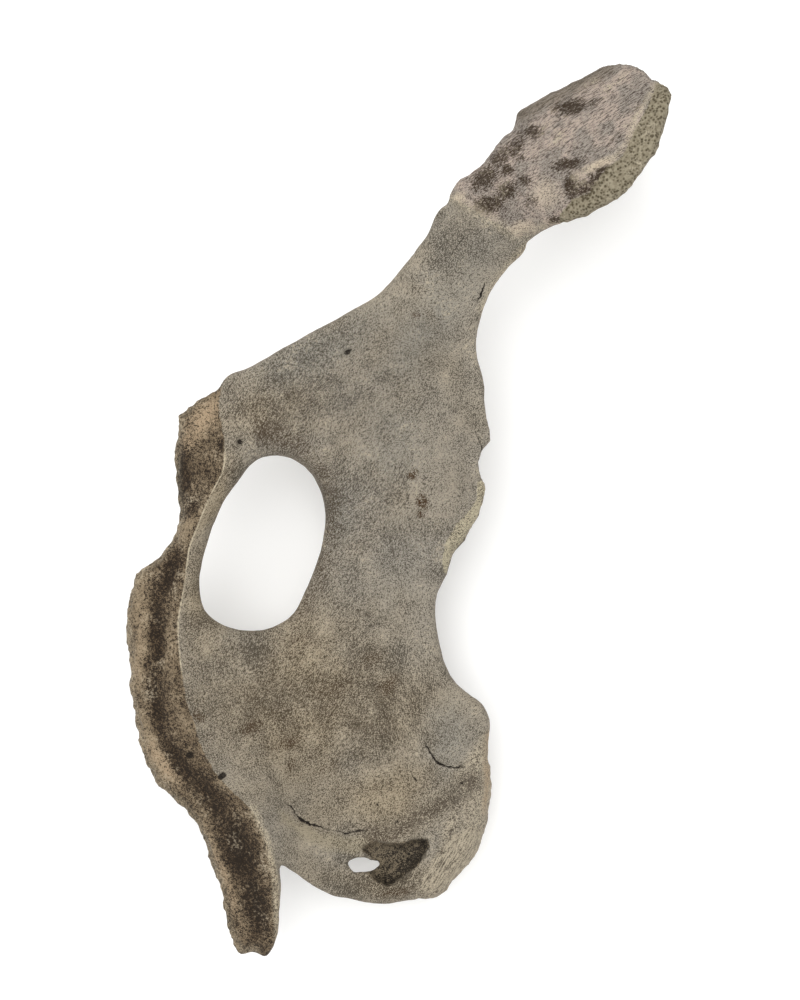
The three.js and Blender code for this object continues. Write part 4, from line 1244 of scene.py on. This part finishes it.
    def tubers(self, colour):
        """Pale pitted knobs of both tubers and of the growth line, and fine lines on the ischial one."""
        growth = self.part("growth_zone")
        coxal = (self.part("coxal_tuber") + self.swing(0, blotch=1.8, grit=1.2)).step(0.1, 0.9)
        rough = self.part("knobbly").most(growth).most(coxal)
        pits = self.pitted + 0.08 - growth * self.swing(0.4, grit=3.2)
        cover = (rough * self.swing(0.75, blotch=1.5)).held()
        colour = self.mix(cover, colour, self.flecked(pits, KNOB_SHADE, KNOB_PALE))
        lined = self.flecked(self.swing(0.6, line=1.9, speck=0.6), KNOB_SHADE, KNOB_PALE)
        return self.mix(COVER["tuber_lines"] * self.inside_of("tuber_lines"), colour, lined)

    def worn_and_highlit_edges(self, colour):
        """Pale ridges and rims, partly rubbed and partly painted highlight, the neck's edge a painted
        highlight only; and the tan edge of the ischial tuber.
        """
        # painted highlight along the neck's edge, with the pale of rubbed and lit ridges and rims
        worn_and_highlit = self.part("pale")
        for name, share in WORN_AND_HIGHLIT_SHARE.items():
            worn_and_highlit = worn_and_highlit.most(share * self.part(name))
        pale = self.flecked(self.grain + 0.2, KNOB_SHADE, EDGE_PALE)
        colour = self.mix((worn_and_highlit * self.swing(0.65, grit=1.8)).held(), colour, pale)
        tan = self.flecked(self.grain + 0.15, KNOB_SHADE, EDGE_TAN)
        return self.mix((self.part("tan_edge") * self.swing(0.66, blotch=1.6)).held(), colour, tan)

    def breaks(self, colour):
        """Yellow chipped edge of the spine, brown pit, and foramina and cracks painted dark as the shade
        inside them.
        """
        chipped = self.flecked(self.grain + self.swing(0.12, blotch=0.9), KNOB_SHADE, CHIP_YELLOW)
        colour = self.mix(COVER["chip"] * self.inside_of("chip"), colour, chipped)
        pit = self.flecked(self.pitted + 0.05 - 0.4 * self.part("pit_dark"), HOLLOW_SHADE, PIT_BROWN)
        colour = self.mix(COVER["pit"] * self.inside_of("pit"), colour, pit)
        # painted shade inside the foramina
        foramen = self.part("foramen") * self.swing(2.5, grit=6) - 0.9
        colour = self.mix(foramen.held(), colour, HOLLOW_SHADE)
        # painted shade inside the cracks
        aside = (self.part("crack") + self.swing(0, grit=2.4)).size()
        past = aside - self.part("crack_width") * self.swing(0.9, speck=1)
        return self.mix((1 - past.step(-0.5, 0.1)) * self.part("crack_fade"), colour, HOLLOW_SHADE)

    def bumps(self):
        """Fine height in millimetres: fibres all over, grit, most where it is ragged, and pores."""
        ragged = self.part("face_drop").most(self.part("rough_end")).step(-1, 1).most(self.part("knobbly"))
        height = self.swing(0, fibre=0.5) + (0.3 + 0.7 * ragged) * self.swing(0, grit=1)
        return height + 0.9 * self.part("spongy").step(-1, 1) * self.pore.least(0.55)

    def laid(self):
        """The whole finish: its layers one over the other, a rough surface and its bumps."""
        colour = self.plain()
        for layer in (self.joint_end, self.symphysis, self.tubers, self.worn_and_highlit_edges, self.breaks):
            colour = layer(colour)
        return self.surface(colour, self.swing(0.8, grit=0.2), self.bumps())


def set_floor():
    """Wide level sheet under the bone, pale and matt, lit a little from within as a light table is: a
    painted glow that lightens the shadows cast on it.
    """
    x, y = np.meshgrid([-FLOOR_REACH, FLOOR_REACH], [-FLOOR_REACH, FLOOR_REACH])
    mesh = bpy.data.meshes.new("floor")
    mesh.from_pydata(np.c_[x.ravel(), y.ravel(), np.zeros(4)], [], [(0, 1, 3, 2)])
    mesh.materials.append(Finish("pale_floor").surface(FLOOR_PALE, FLOOR_ROUGHNESS, glow=FLOOR_PAINTED_GLOW))
    floor = bpy.data.objects.new("floor", mesh)
    bpy.context.scene.collection.objects.link(floor)


def set_light():
    """Even pale surroundings, and a wide soft light from the upper left that casts a faint shadow."""
    world = bpy.data.worlds.new("surroundings")
    world.use_nodes = True
    world.node_tree.nodes["Background"].inputs["Color"].default_value = (1, 1, 1, 1)
    world.node_tree.nodes["Background"].inputs["Strength"].default_value = SURROUND_STRENGTH
    bpy.context.scene.world = world
    bpy.context.scene.view_settings.view_transform = "Standard"
    data = bpy.data.lights.new("soft_light", "AREA")
    data.size = LIGHT_SIZE
    data.energy = LIGHT_POWER
    light = bpy.data.objects.new("soft_light", data)
    light.location = LIGHT_PLACE
    light.rotation_euler = (-light.location).to_track_quat("-Z", "Y").to_euler()
    bpy.context.scene.collection.objects.link(light)


def set_camera():
    """Camera on the eye's axis, looking straight down on the bone."""
    data = bpy.data.cameras.new("camera")
    data.sensor_fit = "VERTICAL"
    data.sensor_height = SENSOR_HEIGHT
    data.lens = SENSOR_HEIGHT * EYE_HEIGHT / (PICTURE_HEIGHT * MM_PER_PIXEL)
    camera = bpy.data.objects.new("camera", data)
    camera.location = (AXIS_PLACE[0] * MM, AXIS_PLACE[1] * MM, EYE_HEIGHT * MM)
    bpy.context.scene.collection.objects.link(camera)
    bpy.context.scene.camera = camera


bone = fused_bone()
bone_surface(bone)
bone.data.materials.append(BoneFinish().laid())
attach(bone, "root")
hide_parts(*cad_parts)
set_floor()
set_light()
set_camera()
